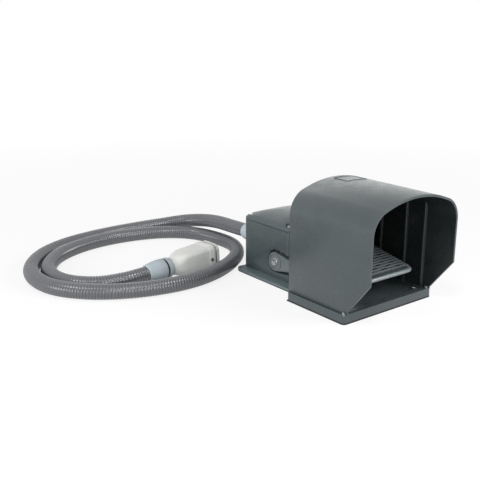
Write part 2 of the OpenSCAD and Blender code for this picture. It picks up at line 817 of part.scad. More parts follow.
module block_bracket() {
    blocks_w = 2 * block_x + block_w;
    foot_w = wall_in + 6.5 - blocks_w / 2;
    color("darkgray") difference() {
        union() {
            translate([-blocks_w / 2, bracket_y, bracket_foot])
                cube([blocks_w, bracket_t, block_top - bracket_foot]);
            for (s = [-1, 1]) translate([s * (blocks_w + foot_w - eps) / 2, bracket_y - 14, bracket_foot])
                translate([-foot_w / 2, 0, 0]) cube([foot_w, 14 + bracket_t, bracket_t]);
            translate([-blocks_w / 2, plunger_y - 8, block_top])
                cube([blocks_w, bracket_y + bracket_t - plunger_y + 8, bracket_t]);
            for (s = [-1, 1]) translate([s * block_x, plunger_y, block_top - 3])
                cylinder(r = 3.6, h = 3 + eps);
        }
        at_bracket_screws() translate([0, 0, -bracket_t - 1]) cylinder(r = m3[0] + screw_fit, h = 6);
    }
}

module bracket_screws() {
    color("silver") at_bracket_screws() screw(m3, bracket_t + bracket_grip);
}

// Screws on the side faces of the blocks, over the fixed contacts
module terminal_screws() {
    color("silver") for (s = [-1, 1], z = [terminal_low, terminal_high])
        translate([s * (block_x + block_w / 2), terminal_y, z])
            rotate([0, s * 90, 0]) cylinder(r = m3[1], h = 1.8);
}

// Conductors from the gland to the terminals
wire_r = 1.2;
wire_bend = [8, 12];
wire_ends = [[-1, terminal_low, -5], [-1, terminal_high, -2],
    [1, terminal_low, 5], [1, terminal_high, 2]];
module wires() {
    y0 = house_back - house_t - 4;
    y1 = terminal_y + m3[1] + 0.3;
    for (w = wire_ends) {
        x0 = w[2] - gland_x;
        x1 = w[0] * (block_x + block_w / 2 + 1.6 + wire_r);
        p = [[x0, y0, gland_z], [x0, y0 - wire_bend[0], gland_z + 0.6],
            [lerp(x0, x1, 0.5), y0 - wire_bend[1], lerp(gland_z, w[1], 0.6)],
            [x1, bracket_y + 6, w[1]], [x1, y1, w[1]]];
        color("darkblue") tube_along(curve(p, [0, -1, 0], [0, -1, 0], 4), wire_r, 6,
            [0, -1, 0], [0, -1, 0]);
    }
}

// ---------------------------------------------------------------- gland on the housing

seal_gap = 1;
hex_l = 10;

module at_gland(y) {
    translate([-gland_x, y, gland_z]) rotate([-90, 0, 0]) children();
}

module gland_body() {
    bore = conduit_d / 2 - 3;
    color("#a5afb2") at_gland(house_back - house_t - 9) difference() {
        union() {
            cylinder(r = thread_d / 2, h = house_t + 9 + seal_gap + eps);
            translate([0, 0, house_t + 9 + seal_gap]) cylinder(r = gland_d / 2, h = hex_l, $fn = 6);
        }
        translate([0, 0, -1]) cylinder(r = bore, h = house_t + hex_l + 12);
    }
}

module gland_seal() {
    color("#1c1c1c") at_gland(house_back) difference() {
        cylinder(r = gland_d / 2 - 2, h = seal_gap);
        translate([0, 0, -1]) cylinder(r = thread_d / 2 + screw_fit, h = seal_gap + 2);
    }
}

module gland_locknut() {
    color("#a5afb2") at_gland(house_back - house_t - 6) difference() {
        cylinder(r = gland_d / 2 - 1, h = 6, $fn = 6);
        translate([0, 0, -1]) cylinder(r = thread_d / 2 + screw_fit, h = 8);
    }
}

// Dome nut that the conduit is clamped in, from z = 0 at its hexagon end
module dome_nut(length) {
    mouth_r = conduit_d / 2 + 1;
    difference() {
        rotate_extrude() polygon([[conduit_d / 2 - 3, 0], [gland_d / 2, 0],
            [gland_d / 2, length * 0.35], [gland_d / 2 - 0.6, length * 0.5],
            [mouth_r + 0.8, length - 1.5], [mouth_r, length], [conduit_d / 2 - 3, length]]);
        for (k = [0 : 5]) rotate(k * 60) translate([gland_d / 2 - 0.5, -1, 2]) cube([2, 2, length * 0.3]);
    }
}

module gland_nut() {
    color("#a9b3b6") at_gland(house_back + seal_gap + hex_l) dome_nut(gland_l - seal_gap - hex_l);
}

// ---------------------------------------------------------------- conduit

// Centre line of the conduit, from the housing's gland to the connector
route = [[-6, 185, 40], [-4, 225, 38], [-3, 265, 36], [-4, 303, 31], [-15, 341, 24],
    [-42, 368, 17], [-88, 382, 13], [-145, 383, 11.2], [-205, 369, 10.6], [-255, 338, 10.6],
    [-290, 293, 10.6], [-305, 245, 10.6], [-300, 197, 10.6], [-275, 158, 10.6], [-238, 131, 10.6],
    [-192, 116, 10.6], [-145, 114, 10.6], [-100, 126, 10.6], [-60, 149, 10.6], [-27, 180, 10.6],
    [-8, 220, 10.6], [-8, 267, 10.6], [-24, 313, 10.6], [-60, 344, 10.6], [-108, 358, 10.6],
    [-160, 357, 10.6], [-207, 342, 10.6], [-247, 314, 10.6], [-275, 274, 10.6], [-284, 234, 10.6],
    [-276, 199, 10.6], [-252, 174, 11], [-220, 164, 12.5], [-188, 164, 14]];
conn_pitch = 3;
conn_yaw = 4.5;
conn_dir = [cos(conn_pitch) * cos(conn_yaw), cos(conn_pitch) * sin(conn_yaw), sin(conn_pitch)];

module conduit() {
    color("#4b4d50") tube_along(curve(route, [0, 1, 0], conn_dir, 2), conduit_d / 2, 12,
        [0, 1, 0], conn_dir);
}

// ---------------------------------------------------------------- connector

// Places its children on the connector's axis, with +Z along the axis from the conduit's end
module at_connector(s) {
    translate(route[len(route) - 1]) rotate([0, -conn_pitch, conn_yaw])
        translate([s, 0, 0]) rotate([90, 0, 90]) children();
}

conn_nut_l = 27;
oring_t = 3;
neck_l = conn_gland_l - conn_nut_l - oring_t;
mouth_s = conn_gland_l + conn_l;
gasket_w = 1.5;
collar_l = 4.5;
bore_w = conn_w - 2 * conn_t;
bore_h = conn_h - 2 * conn_t;
insert_l = 22;

module connector_nut() {
    color("#a9b3b6") at_connector(conn_nut_l) mirror([0, 0, 1]) dome_nut(conn_nut_l);
}

module connector_oring() {
    color("#161616") at_connector(conn_nut_l) difference() {
        cylinder(r = gland_d / 2 - 1.5, h = oring_t);
        translate([0, 0, -1]) cylinder(r = conduit_d / 2 - 3, h = oring_t + 2);
    }
}

module connector_adaptor() {
    color("#a5afb2") at_connector(conn_nut_l + oring_t) difference() {
        union() {
            cylinder(r = gland_d / 2 - 0.5, h = neck_l * 0.55);
            cylinder(r = gland_d / 2 - 1.8, h = neck_l);
        }
        translate([0, 0, -1]) cylinder(r = conduit_d / 2 - 3, h = neck_l + 2);
    }
}

// Thin slice of the connector hood, share of the way from its neck to its mouth
module conn_slice(share, w, h, r) {
    translate([0, 0, share * conn_l]) linear_extrude(0.4) round_rect(w, h, r, $fn = 32);
}

module connector_hood() {
    neck_d = gland_d - 4;
    color("#c3c3bd") at_connector(conn_gland_l) difference() {
        union() {
            hull() {
                conn_slice(0, neck_d, neck_d, neck_d / 2 - 0.1);
                conn_slice(0.3, conn_w - 6, conn_h - 6, conn_r - 1);
            }
            hull() {
                conn_slice(0.3, conn_w - 6, conn_h - 6, conn_r - 1);
                conn_slice(0.6, conn_w - 2.5, conn_h - 2.5, conn_r);
            }
            hull() {
                conn_slice(0.6, conn_w - 2.5, conn_h - 2.5, conn_r);
                conn_slice(1 - 0.4 / conn_l, conn_w, conn_h, conn_r);
            }
        }
        translate([0, 0, -1]) cylinder(r = conduit_d / 2 - 3, h = conn_l);
        translate([0, 0, conn_l - insert_l]) linear_extrude(insert_l + 1)
            round_rect(bore_w, bore_h, conn_r - conn_t);
    }
}

module connector_gasket() {
    color("#161616") at_connector(mouth_s) linear_extrude(gasket_w) difference() {
        round_rect(conn_w - 1, conn_h - 1, conn_r - 0.5);
        round_rect(bore_w, bore_h, conn_r - conn_t);
    }
}

module connector_collar() {
    color("#c9c9c3") at_connector(mouth_s + gasket_w) linear_extrude(collar_l) difference() {
        round_rect(conn_w, conn_h, conn_r);
        round_rect(bore_w, bore_h, conn_r - conn_t);
    }
}

// Places its children at the contacts of the connector
module at_sockets() {
    for (x = [-1, 0, 1], y = [-0.5, 0.5]) translate([x * 8, y * 11, 0]) children();
}

module connector_insert() {
    start = mouth_s - insert_l;
    color("#303234") at_connector(start) difference() {
        linear_extrude(insert_l + gasket_w + collar_l)
            round_rect(bore_w - 0.2, bore_h - 0.2, conn_r - conn_t);
        at_sockets() translate([0, 0, 4]) cylinder(r = 2.2 + screw_fit, h = insert_l + 10);
    }
}

module connector_sockets() {
    color("gold") at_connector(mouth_s - insert_l + 4) at_sockets() difference() {
        cylinder(r = 2.2, h = insert_l - 4);
        translate([0, 0, 3]) cylinder(r = 1.5, h = insert_l);
    }
}

module connector_pegs() {
    color("silver") at_connector(mouth_s - 8) for (s = [-1, 1])
        translate([s * (conn_w / 2 - 0.25), 0, 0]) rotate([0, s * 90, 0]) cylinder(r = 2.5, h = 2);
}

base_plate();
rubber_mat();
tray();
tray_screws();
hood();
hood_screws();
housing_body();
housing_screws();
housing_lid();
lid_gasket();
lid_screws();
bush_left();
bush_right();
shaft_seals();
stop_screws();
earth_screw();
pedal();
pivot_shaft();
cam_lever();
cam_screw();
arm_screws();
arm_washers();
spring_cup();
return_spring();
spring_seat();
block_bracket();
bracket_screws();
contact_block_left();
contact_block_right();
fixed_contacts_left();
fixed_contacts_right();
plunger_left();
plunger_right();
bridge_left();
bridge_right();
plunger_spring_left();
plunger_spring_right();
terminal_screws();
wires();
gland_body();
gland_seal();
gland_locknut();
gland_nut();
conduit();
connector_nut();
connector_oring();
connector_adaptor();
connector_hood();
connector_gasket();
connector_collar();
connector_insert();
connector_sockets();
connector_pegs();
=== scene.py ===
"""Guarded foot switch with a corrugated conduit and a plug connector, dressed for looks."""

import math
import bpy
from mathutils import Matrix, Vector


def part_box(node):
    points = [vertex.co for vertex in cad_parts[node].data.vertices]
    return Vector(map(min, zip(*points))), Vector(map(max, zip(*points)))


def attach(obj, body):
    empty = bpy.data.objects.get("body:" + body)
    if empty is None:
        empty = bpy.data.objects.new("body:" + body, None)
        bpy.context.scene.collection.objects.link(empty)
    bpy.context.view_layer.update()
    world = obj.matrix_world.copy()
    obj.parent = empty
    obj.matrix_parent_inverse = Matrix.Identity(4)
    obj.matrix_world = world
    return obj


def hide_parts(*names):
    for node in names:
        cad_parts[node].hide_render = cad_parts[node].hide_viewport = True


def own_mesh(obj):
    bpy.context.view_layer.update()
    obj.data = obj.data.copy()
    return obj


bl_info = {
    "name": "Foot switch with guard",
    "version": (1, 0, 0),
    "blender": (4, 5, 0),
    "location": "View3D > Sidebar > Foot Switch",
    "description": "Dresses a guarded foot switch, its conduit and its plug",
    "category": "Object",
}

import bpy
from bpy.props import FloatProperty, FloatVectorProperty, IntProperty, PointerProperty
from mathutils import Matrix, Vector

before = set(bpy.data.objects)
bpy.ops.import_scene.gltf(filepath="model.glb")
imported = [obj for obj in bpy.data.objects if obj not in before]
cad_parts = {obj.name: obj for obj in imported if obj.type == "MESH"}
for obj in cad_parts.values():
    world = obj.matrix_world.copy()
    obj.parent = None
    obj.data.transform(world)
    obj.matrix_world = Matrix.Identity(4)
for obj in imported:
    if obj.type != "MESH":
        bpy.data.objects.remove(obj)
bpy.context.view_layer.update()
MM = 0.001

# Centre line of the conduit in millimetres, from the housing's gland to the plug
CONDUIT_ROUTE = [
    (-6, 185, 40), (-4, 225, 38), (-3, 265, 36), (-4, 303, 31), (-15, 341, 24),
    (-42, 368, 17), (-88, 382, 13), (-145, 383, 11.2), (-205, 369, 10.6), (-255, 338, 10.6),
    (-290, 293, 10.6), (-305, 245, 10.6), (-300, 197, 10.6), (-275, 158, 10.6), (-238, 131, 10.6),
    (-192, 116, 10.6), (-145, 114, 10.6), (-100, 126, 10.6), (-60, 149, 10.6), (-27, 180, 10.6),
    (-8, 220, 10.6), (-8, 267, 10.6), (-24, 313, 10.6), (-60, 344, 10.6), (-108, 358, 10.6),
    (-160, 357, 10.6), (-207, 342, 10.6), (-247, 314, 10.6), (-275, 274, 10.6), (-284, 234, 10.6),
    (-276, 199, 10.6), (-252, 174, 11), (-220, 164, 12.5), (-188, 164, 14),
]
# Faces of the conduit along each rib, and steps of its curve from one point to the next
RINGS_PER_RIB = 5
ROUTE_STEPS = 24
# Above 1, the ribs are broader than the grooves between them
RIB_BREADTH = 2.2
# Half width of the base plate behind the tray
PLATE_HALF = 0.05875
# Radius of the arc across the hood's top
CROWN_RADIUS = 0.1567
# Bare label place on the hood in millimetres: middle, half size, corner radius and, from its
# outer foot to its inner foot, how far its rim lies inside that size and above the hood
LABEL_MIDDLE = (7, -19.5)
LABEL_HALF = (19, 13.5)
LABEL_CORNER = 3
LABEL_RIM = ((0, -0.4), (0, 0.25), (0.25, 0.45), (0.95, 0.45), (1.2, 0.25), (1.2, -0.4))
# The tread rises from its nose to its rear end; its bars keep a margin from both ends
TREAD_NOSE_Z = 0.0455
TREAD_DEPTH = 0.088
TREAD_ANGLE = math.atan2(0.0165, TREAD_DEPTH)
TREAD_MARGIN = 0.008
TREAD_HALF = 0.0435
BAR_GAPS = 13
BAR_PITCH = (TREAD_DEPTH / math.cos(TREAD_ANGLE) - 2 * TREAD_MARGIN) / BAR_GAPS
# Slots in the tread: distance from one to the next, and half of a slot's length
SLOT_PITCH = 0.02464
SLOT_HALF = 0.0044
# Heights over the tread's plane: foot of the slots, foot and shoulder of the bars, and above them
SLOT_FOOT, BAR_FOOT, BAR_SHOULDER, OVER_BARS = -0.0042, -0.0003, 0.00105, 0.004
# Black rubber edges, which stand in for the dark contact shadow at the floor: half of their width,
# and their distance from the floor and from what they carry
SHADOW_STRIP_HALF = 0.0008
SHADOW_STRIP_GAP = 0.0001
# Full ranges of the spring cup's joint and the plungers' joints
CUP_TRAVEL = 0.0027
PLUNGER_TRAVEL = 0.0033
# Screw recesses of the lid: distance of their middles from its sides, radius and floor
RECESS_INSET = 0.0073
RECESS_RADIUS = 0.0048
RECESS_FLOOR = 0.004
# Half outline of a dome nut in millimetres: radius, share of its length, and what is added to that
NUT_PROFILE = (
    (7.5, 0, 0), (13.7, 0, 0), (14.3, 0, 0.5), (14.5, 0, 1.1), (14.5, 0.3, 0), (14.4, 0.38, 0),
    (14.2, 0.44, 0), (13.95, 0.5, 0), (13.6, 0.62, 0), (12.9, 0.8, 0), (12.3, 1, -2.2),
    (12.1, 1, -1.2), (11.7, 1, -0.4), (11.3, 1, 0), (10.6, 1, 0), (10.3, 1, -0.8), (7.5, 1, -1),
)
# Plug's hood in millimetres: distance along the plug, half width, half height, corner radius
PLUG_STATIONS = (
    (38, 7.5, 7.5, 7.4), (38, 11.9, 11.9, 11.8), (38.4, 12.3, 12.3, 12.2),
    (40, 12.5, 12.5, 12.3), (41.5, 12.8, 12.8, 12.4), (43.5, 13.5, 13.3, 12.4),
    (46, 14.5, 14, 12), (49, 15.5, 14.8, 11), (52, 16.2, 15.4, 9.8), (55, 16.7, 15.8, 8.6),
    (58, 17, 16.1, 7.6), (62, 17.25, 16.3, 6.8), (70, 17.6, 16.6, 6.3), (82, 18, 17, 6.2),
    (93, 18.3, 17.3, 6.2), (93.6, 18.4, 17.4, 6.3), (94.1, 18.9, 17.9, 6.8),
    (94.7, 19.1, 18.1, 7), (97.2, 19.15, 18.15, 7), (97.6, 18.9, 17.9, 6.8),
    (98, 18.9, 17.9, 6.8), (98.4, 19.15, 18.15, 7), (102.8, 19.2, 18.2, 7),
    (103.6, 19, 18, 6.9), (104, 18.6, 17.6, 6.6), (104, 16.2, 15.2, 5.5),
    (82, 16.2, 15.2, 5.5), (82, 7.5, 7.5, 7.4),
)
PLUG_PITCH = math.radians(3)
PLUG_YAW = math.radians(4.5)
PLUG_AXIS = Vector((
    math.cos(PLUG_PITCH) * math.cos(PLUG_YAW),
    math.cos(PLUG_PITCH) * math.sin(PLUG_YAW),
    math.sin(PLUG_PITCH),
))
# The plug's axis system: local +Z runs along the plug, away from the conduit
PLUG_FRAME = (
    Matrix.Translation(Vector(CONDUIT_ROUTE[-1]) * MM)
    @ Matrix.Rotation(PLUG_YAW, 4, "Z")
    @ Matrix.Rotation(-PLUG_PITCH, 4, "Y")
    @ Matrix(((0, 0, 1, 0), (1, 0, 0, 0), (0, 1, 0, 0), (0, 0, 0, 1)))
)


# ---------------------------------------------------------------- settings


class FootSwitchFinish(bpy.types.PropertyGroup):
    """Colours and gloss of the switch"""

    hood_colour: FloatVectorProperty(
        name="Hood paint", description="Powder coat of the guard", subtype="COLOR",
        size=3, min=0, max=1, default=(0.060, 0.077, 0.081),
    )
    body_colour: FloatVectorProperty(
        name="Housing paint", description="Powder coat of the switch housing", subtype="COLOR",
        size=3, min=0, max=1, default=(0.055, 0.073, 0.077),
    )
    pedal_colour: FloatVectorProperty(
        name="Treadle paint", description="Powder coat of the treadle", subtype="COLOR",
        size=3, min=0, max=1, default=(0.13, 0.152, 0.158),
    )
    conduit_colour: FloatVectorProperty(
        name="Conduit", description="Plastic skin of the conduit", subtype="COLOR",
        size=3, min=0, max=1, default=(0.108, 0.113, 0.126),
    )
    fitting_colour: FloatVectorProperty(
        name="Conduit fittings", description="Nylon of the gland and the plug's nut",
        subtype="COLOR", size=3, min=0, max=1, default=(0.49, 0.56, 0.6),
    )
    plug_colour: FloatVectorProperty(
        name="Plug hood", description="Coat of the plug's hood", subtype="COLOR",
        size=3, min=0, max=1, default=(0.76, 0.77, 0.74),
    )
    paint_gloss: FloatProperty(
        name="Paint roughness", description="Roughness of the powder coat",
        min=0.1, max=1, default=0.3,
    )


class FootSwitchSizes(bpy.types.PropertyGroup):
    """Sizes that the castings and the conduit are finished to"""

    casting_edge: FloatProperty(
        name="Casting edge", description="Radius of the edges of the castings",
        unit="LENGTH", min=0.0002, max=0.002, default=0.0008,
    )
    lid_edge: FloatProperty(
        name="Lid edge", description="Radius of the lid's top edge",
        unit="LENGTH", min=0.003, max=0.009, default=0.008,
    )
    rib_pitch: FloatProperty(
        name="Conduit rib pitch", description="Distance from one rib of the conduit to the next",
        unit="LENGTH", min=0.0025, max=0.006, default=0.0037,
    )
    rib_depth: FloatProperty(
        name="Conduit rib depth", description="Depth of the groove between two ribs",
        unit="LENGTH", min=0.0002, max=0.0015, default=0.0008,
    )
    conduit_radius: FloatProperty(
        name="Conduit radius", description="Outer radius of the conduit over its ribs",
        unit="LENGTH", min=0.008, max=0.012, default=0.0105,
    )
    conduit_sides: IntProperty(
        name="Conduit sides", description="Faces round the conduit", min=12, max=48, default=24,
    )


class FootSwitchStudio(bpy.types.PropertyGroup):
    """Floor, lamps and camera"""

    floor_colour: FloatVectorProperty(
        name="Floor", description="Colour of the floor", subtype="COLOR",
        size=3, min=0, max=1, default=(0.5, 0.5, 0.5),
    )
    overhead_power: FloatProperty(
        name="Overhead lamp", description="Power of the overhead softbox",
        subtype="POWER", min=0, max=200, default=0.3,
    )
    spark_power: FloatProperty(
        name="Small lamp", description="Power of the small lamp above the conduit",
        subtype="POWER", min=0, max=200, default=8,
    )
    left_power: FloatProperty(
        name="Left lamp", description="Power of the softbox at the left",
        subtype="POWER", min=0, max=200, default=12,
    )
    rear_power: FloatProperty(
        name="Rear lamp", description="Power of the softbox behind the switch",
        subtype="POWER", min=0, max=200, default=6,
    )
    fill_power: FloatProperty(
        name="Fill lamp", description="Power of the low softbox at the front left",
        subtype="POWER", min=0, max=200, default=9.5,
    )
    front_power: FloatProperty(
        name="Front lamp", description="Power of the high softbox in front of the switch",
        subtype="POWER", min=0, max=200, default=20,
    )
    sky: FloatProperty(
        name="Room light", description="Strength of the light from the room", min=0, max=2,
        default=0.17,
    )


# ---------------------------------------------------------------- selection and pieces


def corners_of(node):
    """Lowest and highest corner of a CAD node at rest"""
    low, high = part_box(node)
    return Vector(low), Vector(high)


def nothing_selected():
    if bpy.context.object and bpy.context.object.mode != "OBJECT":
        bpy.ops.object.mode_set(mode="OBJECT")
    bpy.ops.object.select_all(action="DESELECT")


def work_on(piece):
    nothing_selected()
    piece.select_set(True)
    bpy.context.view_layer.objects.active = piece


def edit(piece):
    work_on(piece)
    bpy.ops.object.mode_set(mode="EDIT")
    bpy.ops.mesh.select_all(action="SELECT")


def done_editing():
    bpy.ops.object.mode_set(mode="OBJECT")


def place(piece, matrix):
    """Puts a piece at its place and applies it, so that its object stays at the origin"""
    work_on(piece)
    piece.matrix_world = matrix @ piece.matrix_world
    bpy.ops.object.transform_apply(location=True, rotation=True, scale=True)


def modify(piece, kind, **settings):
    """Adds a modifier with these settings and applies it"""
    work_on(piece)
    bpy.ops.object.modifier_add(type=kind)
    modifier = piece.modifiers[-1]
    for key, value in settings.items():
        setattr(modifier, key, value)
    bpy.ops.object.modifier_apply(modifier=modifier.name)


def cut_away(piece, cutter):
    """Cuts one mesh out of another and removes the cutter"""
    modify(piece, "BOOLEAN", operation="DIFFERENCE", solver="EXACT", object=cutter)
    bpy.data.objects.remove(cutter)


def outward(piece):
    """Merges a piece's doubles and turns its faces outwards"""
    edit(piece)
    bpy.ops.mesh.remove_doubles(threshold=1e-6)
    bpy.ops.mesh.normals_make_consistent(inside=False)
    done_editing()


def smooth(piece, degrees=35):
    work_on(piece)
    bpy.ops.object.shade_smooth_by_angle(angle=math.radians(degrees))


def hand_over(piece, name, finish, body, replaces=()):
    """Names a finished piece, gives it its finish, and lets it ride with its body"""
    piece.name = name
    piece.data.name = name
    piece.data.materials.clear()
    piece.data.materials.append(bpy.data.materials[finish])
    if replaces:
        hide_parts(*replaces)
    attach(piece, body)


def copy_of(node):
    """Merged copy of a CAD node's mesh"""
    piece = bpy.data.objects.new(node + "_copy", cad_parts[node].data.copy())
    bpy.context.scene.collection.objects.link(piece)
    edit(piece)
    bpy.ops.mesh.customdata_custom_splitnormals_clear()
    bpy.ops.mesh.remove_doubles(threshold=2e-6)
    done_editing()
    return piece


def casting_from(node, edge):
    """Merged copy of a CAD casting with its sharp edges rounded"""
    piece = copy_of(node)
    edit(piece)
    bpy.ops.mesh.dissolve_limited(angle_limit=math.radians(0.4))
    done_editing()
    modify(
        piece, "BEVEL", width=edge, segments=3, limit_method="ANGLE",
        angle_limit=math.radians(30), miter_outer="MITER_ARC", use_clamp_overlap=True,
    )
    smooth(piece)
    return piece


def drawn_out(rings, capped=False):
    """Shell drawn out ring by ring with extrude, capped or led back to its first ring"""
    rings = rings if capped else rings + rings[:1]
    count = len(rings[0])
    nothing_selected()
    bpy.ops.mesh.primitive_circle_add(vertices=count, radius=0.01, fill_type="NOTHING")
    piece = bpy.context.object
    for vertex, point in zip(piece.data.vertices, rings[0]):
        vertex.co = point
    edit(piece)
    for _ in rings[1:]:
        bpy.ops.mesh.extrude_edges_move()
    done_editing()
    for k, ring in enumerate(rings[1:], 1):
        for i, point in enumerate(ring):
            piece.data.vertices[k * count + i].co = point
    for k in (0, len(rings) - 1) if capped else ():
        edit(piece)
        bpy.ops.mesh.select_all(action="DESELECT")
        done_editing()
        for vertex in piece.data.vertices[k * count:(k + 1) * count]:
            vertex.select = True
        bpy.ops.object.mode_set(mode="EDIT")
        bpy.ops.mesh.edge_face_add()
        done_editing()
    outward(piece)
    return piece


def turned(profile, sides):
    """Turned piece round +Z from a closed list of (radius, height) in millimetres"""
    turns = [2 * math.pi * k / sides for k in range(sides)]
    return drawn_out([
        [Vector((radius * math.cos(a), radius * math.sin(a), z)) * MM for a in turns]
        for radius, z in profile
    ])


def rounded_outline(half_w, half_h, radius, steps, parts=1):
    """Points of a rectangle with round corners, anticlockwise; each side has so many parts"""
    corners = []
    for corner, (sx, sy) in enumerate(((1, 1), (-1, 1), (-1, -1), (1, -1))):
        x, y = sx * (half_w - radius), sy * (half_h - radius)
        turns = [math.radians(90 * corner + 90 * k / steps) for k in range(steps + 1)]
        corners.append([(x + radius * math.cos(a), y + radius * math.sin(a)) for a in turns])
    points = []
    for corner, following in zip(corners, corners[1:] + corners[:1]):
        (x0, y0), (x1, y1) = corner[-1], following[0]
        points += corner
        points += [
            (x0 + (x1 - x0) * k / parts, y0 + (y1 - y0) * k / parts) for k in range(1, parts)
        ]
    return points


def along_path(path, section, ends=1.0):
    """Bar drawn along a level path; section gives (outward, up) and ends narrow by this share"""
    rings = []
    for i, point in enumerate(path):
        run = (path[min(i + 1, len(path) - 1)] - path[max(i - 1, 0)]).normalized()
        side = Vector((run.y, -run.x, 0))
        size = ends if i in (0, len(path) - 1) else 1
        rings.append([point + size * (u * side + Vector((0, 0, v))) for u, v in section])
    return drawn_out(rings, capped=True)


def u_path(half, front, back, radius):
    """Level path down one side, round two corners along the front, and up the other side"""
    steps = 6
    path = [Vector((-half, back, 0))]
    path += [
        Vector((radius - half - radius * math.cos(a), front + radius - radius * math.sin(a), 0))
        for a in (math.radians(90 * k / steps) for k in range(steps + 1))
    ]
    return path + [Vector((-point.x, point.y, 0)) for point in reversed(path)]


# ---------------------------------------------------------------- materials


class Nodes:
    """Makes and joins the nodes of one tree"""

    def __init__(self, tree):
        self.tree = tree

    def add(self, kind, **settings):
        node = self.tree.nodes.new(kind)
        for key, value in settings.items():
            setattr(node, key, value)
        return node

    def join(self, source, target):
        self.tree.links.new(source, target)

    def filled(self, node, values):
        """Outputs of a node whose inputs are given a number, a vector or a socket each"""
        for value, socket in zip(values, node.inputs):
            if isinstance(value, bpy.types.NodeSocket):
                self.join(value, socket)
            else:
                socket.default_value = value
        return node.outputs

    def maths(self, operation, *values):
        """Result of one math node"""
        return self.filled(self.add("ShaderNodeMath", operation=operation), values)[0]

    def vectors(self, operation, *values, result="Vector"):
        """Result of one vector math node"""
        node = self.add("ShaderNodeVectorMath", operation=operation)
        return self.filled(node, values)[result]

    def seen(self):
        """1 for the camera and for gloss, 0 for the light that falls on the object"""
        path = self.add("ShaderNodeLightPath").outputs
        return self.maths("MAXIMUM", path["Is Camera Ray"], path["Is Glossy Ray"])

    def show(self, share, first, second, output):
        """Leads a mix of two shaders to the tree's output"""
        mix = self.add("ShaderNodeMixShader")
        mixed = self.filled(mix, (share, first.outputs[0], second.outputs[0]))[0]
        self.join(mixed, self.tree.nodes[output].inputs["Surface"])


class Recipe(Nodes):
    """A new material and the nodes that it is made from"""

    def __init__(self, name, colour, roughness, metallic=0.0):
        self.material = bpy.data.materials.new(name)
        self.material.use_nodes = True
        super().__init__(self.material.node_tree)
        self.shader = self.tree.nodes["Principled BSDF"]
        self.shader.inputs["Base Color"].default_value = (*colour, 1)
        self.shader.inputs["Roughness"].default_value = roughness
        self.shader.inputs["Metallic"].default_value = metallic
        self.material.diffuse_color = (*colour, 1)
        self.coords = self.add("ShaderNodeTexCoord")

    def feed(self, socket, source):
        """Leads a source to one of the shader's own sockets"""
        self.join(source, self.shader.inputs[socket])

    def along(self, direction):
        """Distance from the origin along a direction"""
        where = self.coords.outputs["Object"]
        return self.vectors("DOT_PRODUCT", where, direction, result="Value")

    def noise(self, scale, detail=2.0, rough=0.5, stretch=(1, 1, 1)):
        where = self.add("ShaderNodeMapping")
        where.inputs["Scale"].default_value = stretch
        self.join(self.coords.outputs["Object"], where.inputs["Vector"])
        noise = self.add("ShaderNodeTexNoise")
        noise.inputs["Scale"].default_value = scale
        noise.inputs["Detail"].default_value = detail
        noise.inputs["Roughness"].default_value = rough
        self.join(where.outputs["Vector"], noise.inputs["Vector"])
        return noise.outputs["Fac"]

    def cloudy(self, scale, detail, rough, low=0, high=1):
        """Slow change between two values over noise"""
        return self.ramp(self.noise(scale, detail, rough), 0.3, 0.7, low, high)

    def ramp(self, source, low, high, low_value, high_value):
        change = self.add("ShaderNodeMapRange")
        change.inputs["From Min"].default_value = low
        change.inputs["From Max"].default_value = high
        change.inputs["To Min"].default_value = low_value
        change.inputs["To Max"].default_value = high_value
        self.join(source, change.inputs["Value"])
        return change.outputs["Result"]

    def blend(self, factor, first, second):
        mix = self.add("ShaderNodeMix", data_type="RGBA")
        self.join(factor, mix.inputs[0])
        for value, socket in ((first, mix.inputs[6]), (second, mix.inputs[7])):
            if isinstance(value, tuple):
                socket.default_value = (*value, 1)
            else:
                self.join(value, socket)
        return mix.outputs[2]

    def bump(self, height, strength, distance, normal=None):
        bump = self.add("ShaderNodeBump")
        bump.inputs["Strength"].default_value = strength
        bump.inputs["Distance"].default_value = distance
        self.join(height, bump.inputs["Height"])
        if normal is not None:
            self.join(normal, bump.inputs["Normal"])
        return bump.outputs["Normal"]

    def soft_edges(self, radius):
        bevel = self.add("ShaderNodeBevel", samples=4)
        bevel.inputs["Radius"].default_value = radius
        return bevel.outputs["Normal"]


def shade_of(colour, share):
    return tuple(min(1.0, c * share) for c in colour)


def powder_coat(name, colour, roughness, inside=1.0):
    """Satin powder coat with fine orange peel; inside is its share of tone on the faces within the
    hood, a painted shade
    """
    r = Recipe(name, colour, roughness)
    base = r.blend(r.cloudy(38, 4, 0.6), shade_of(colour, 0.93), shade_of(colour, 1.06))
    dust = r.ramp(r.noise(160, 3, 0.6), 0.55, 0.8, 0, 0.25)
    base = r.blend(dust, base, shade_of(colour, 1.15))
    if inside < 1:
        # Painted shade: the faces inside the hood, which look towards a line along its middle, are
        # painted darker
        hood_middle = (0, 0, 0.06)
        out = r.vectors("SUBTRACT", r.coords.outputs["Object"], hood_middle)
        out = r.vectors("MULTIPLY", out, (1, 0, 1))
        facing = r.vectors("DOT_PRODUCT", out, r.coords.outputs["Normal"], result="Value")
        base = r.blend(r.ramp(facing, -0.03, -0.015, 1, 0), base, shade_of(colour, inside))
    r.feed("Base Color", base)
    r.feed("Roughness", r.cloudy(90, 3, 0.6, roughness - 0.05, roughness + 0.07))
    r.feed("Normal", r.bump(r.noise(700, 1, 0.4), 0.04, 0.0001))
    return r


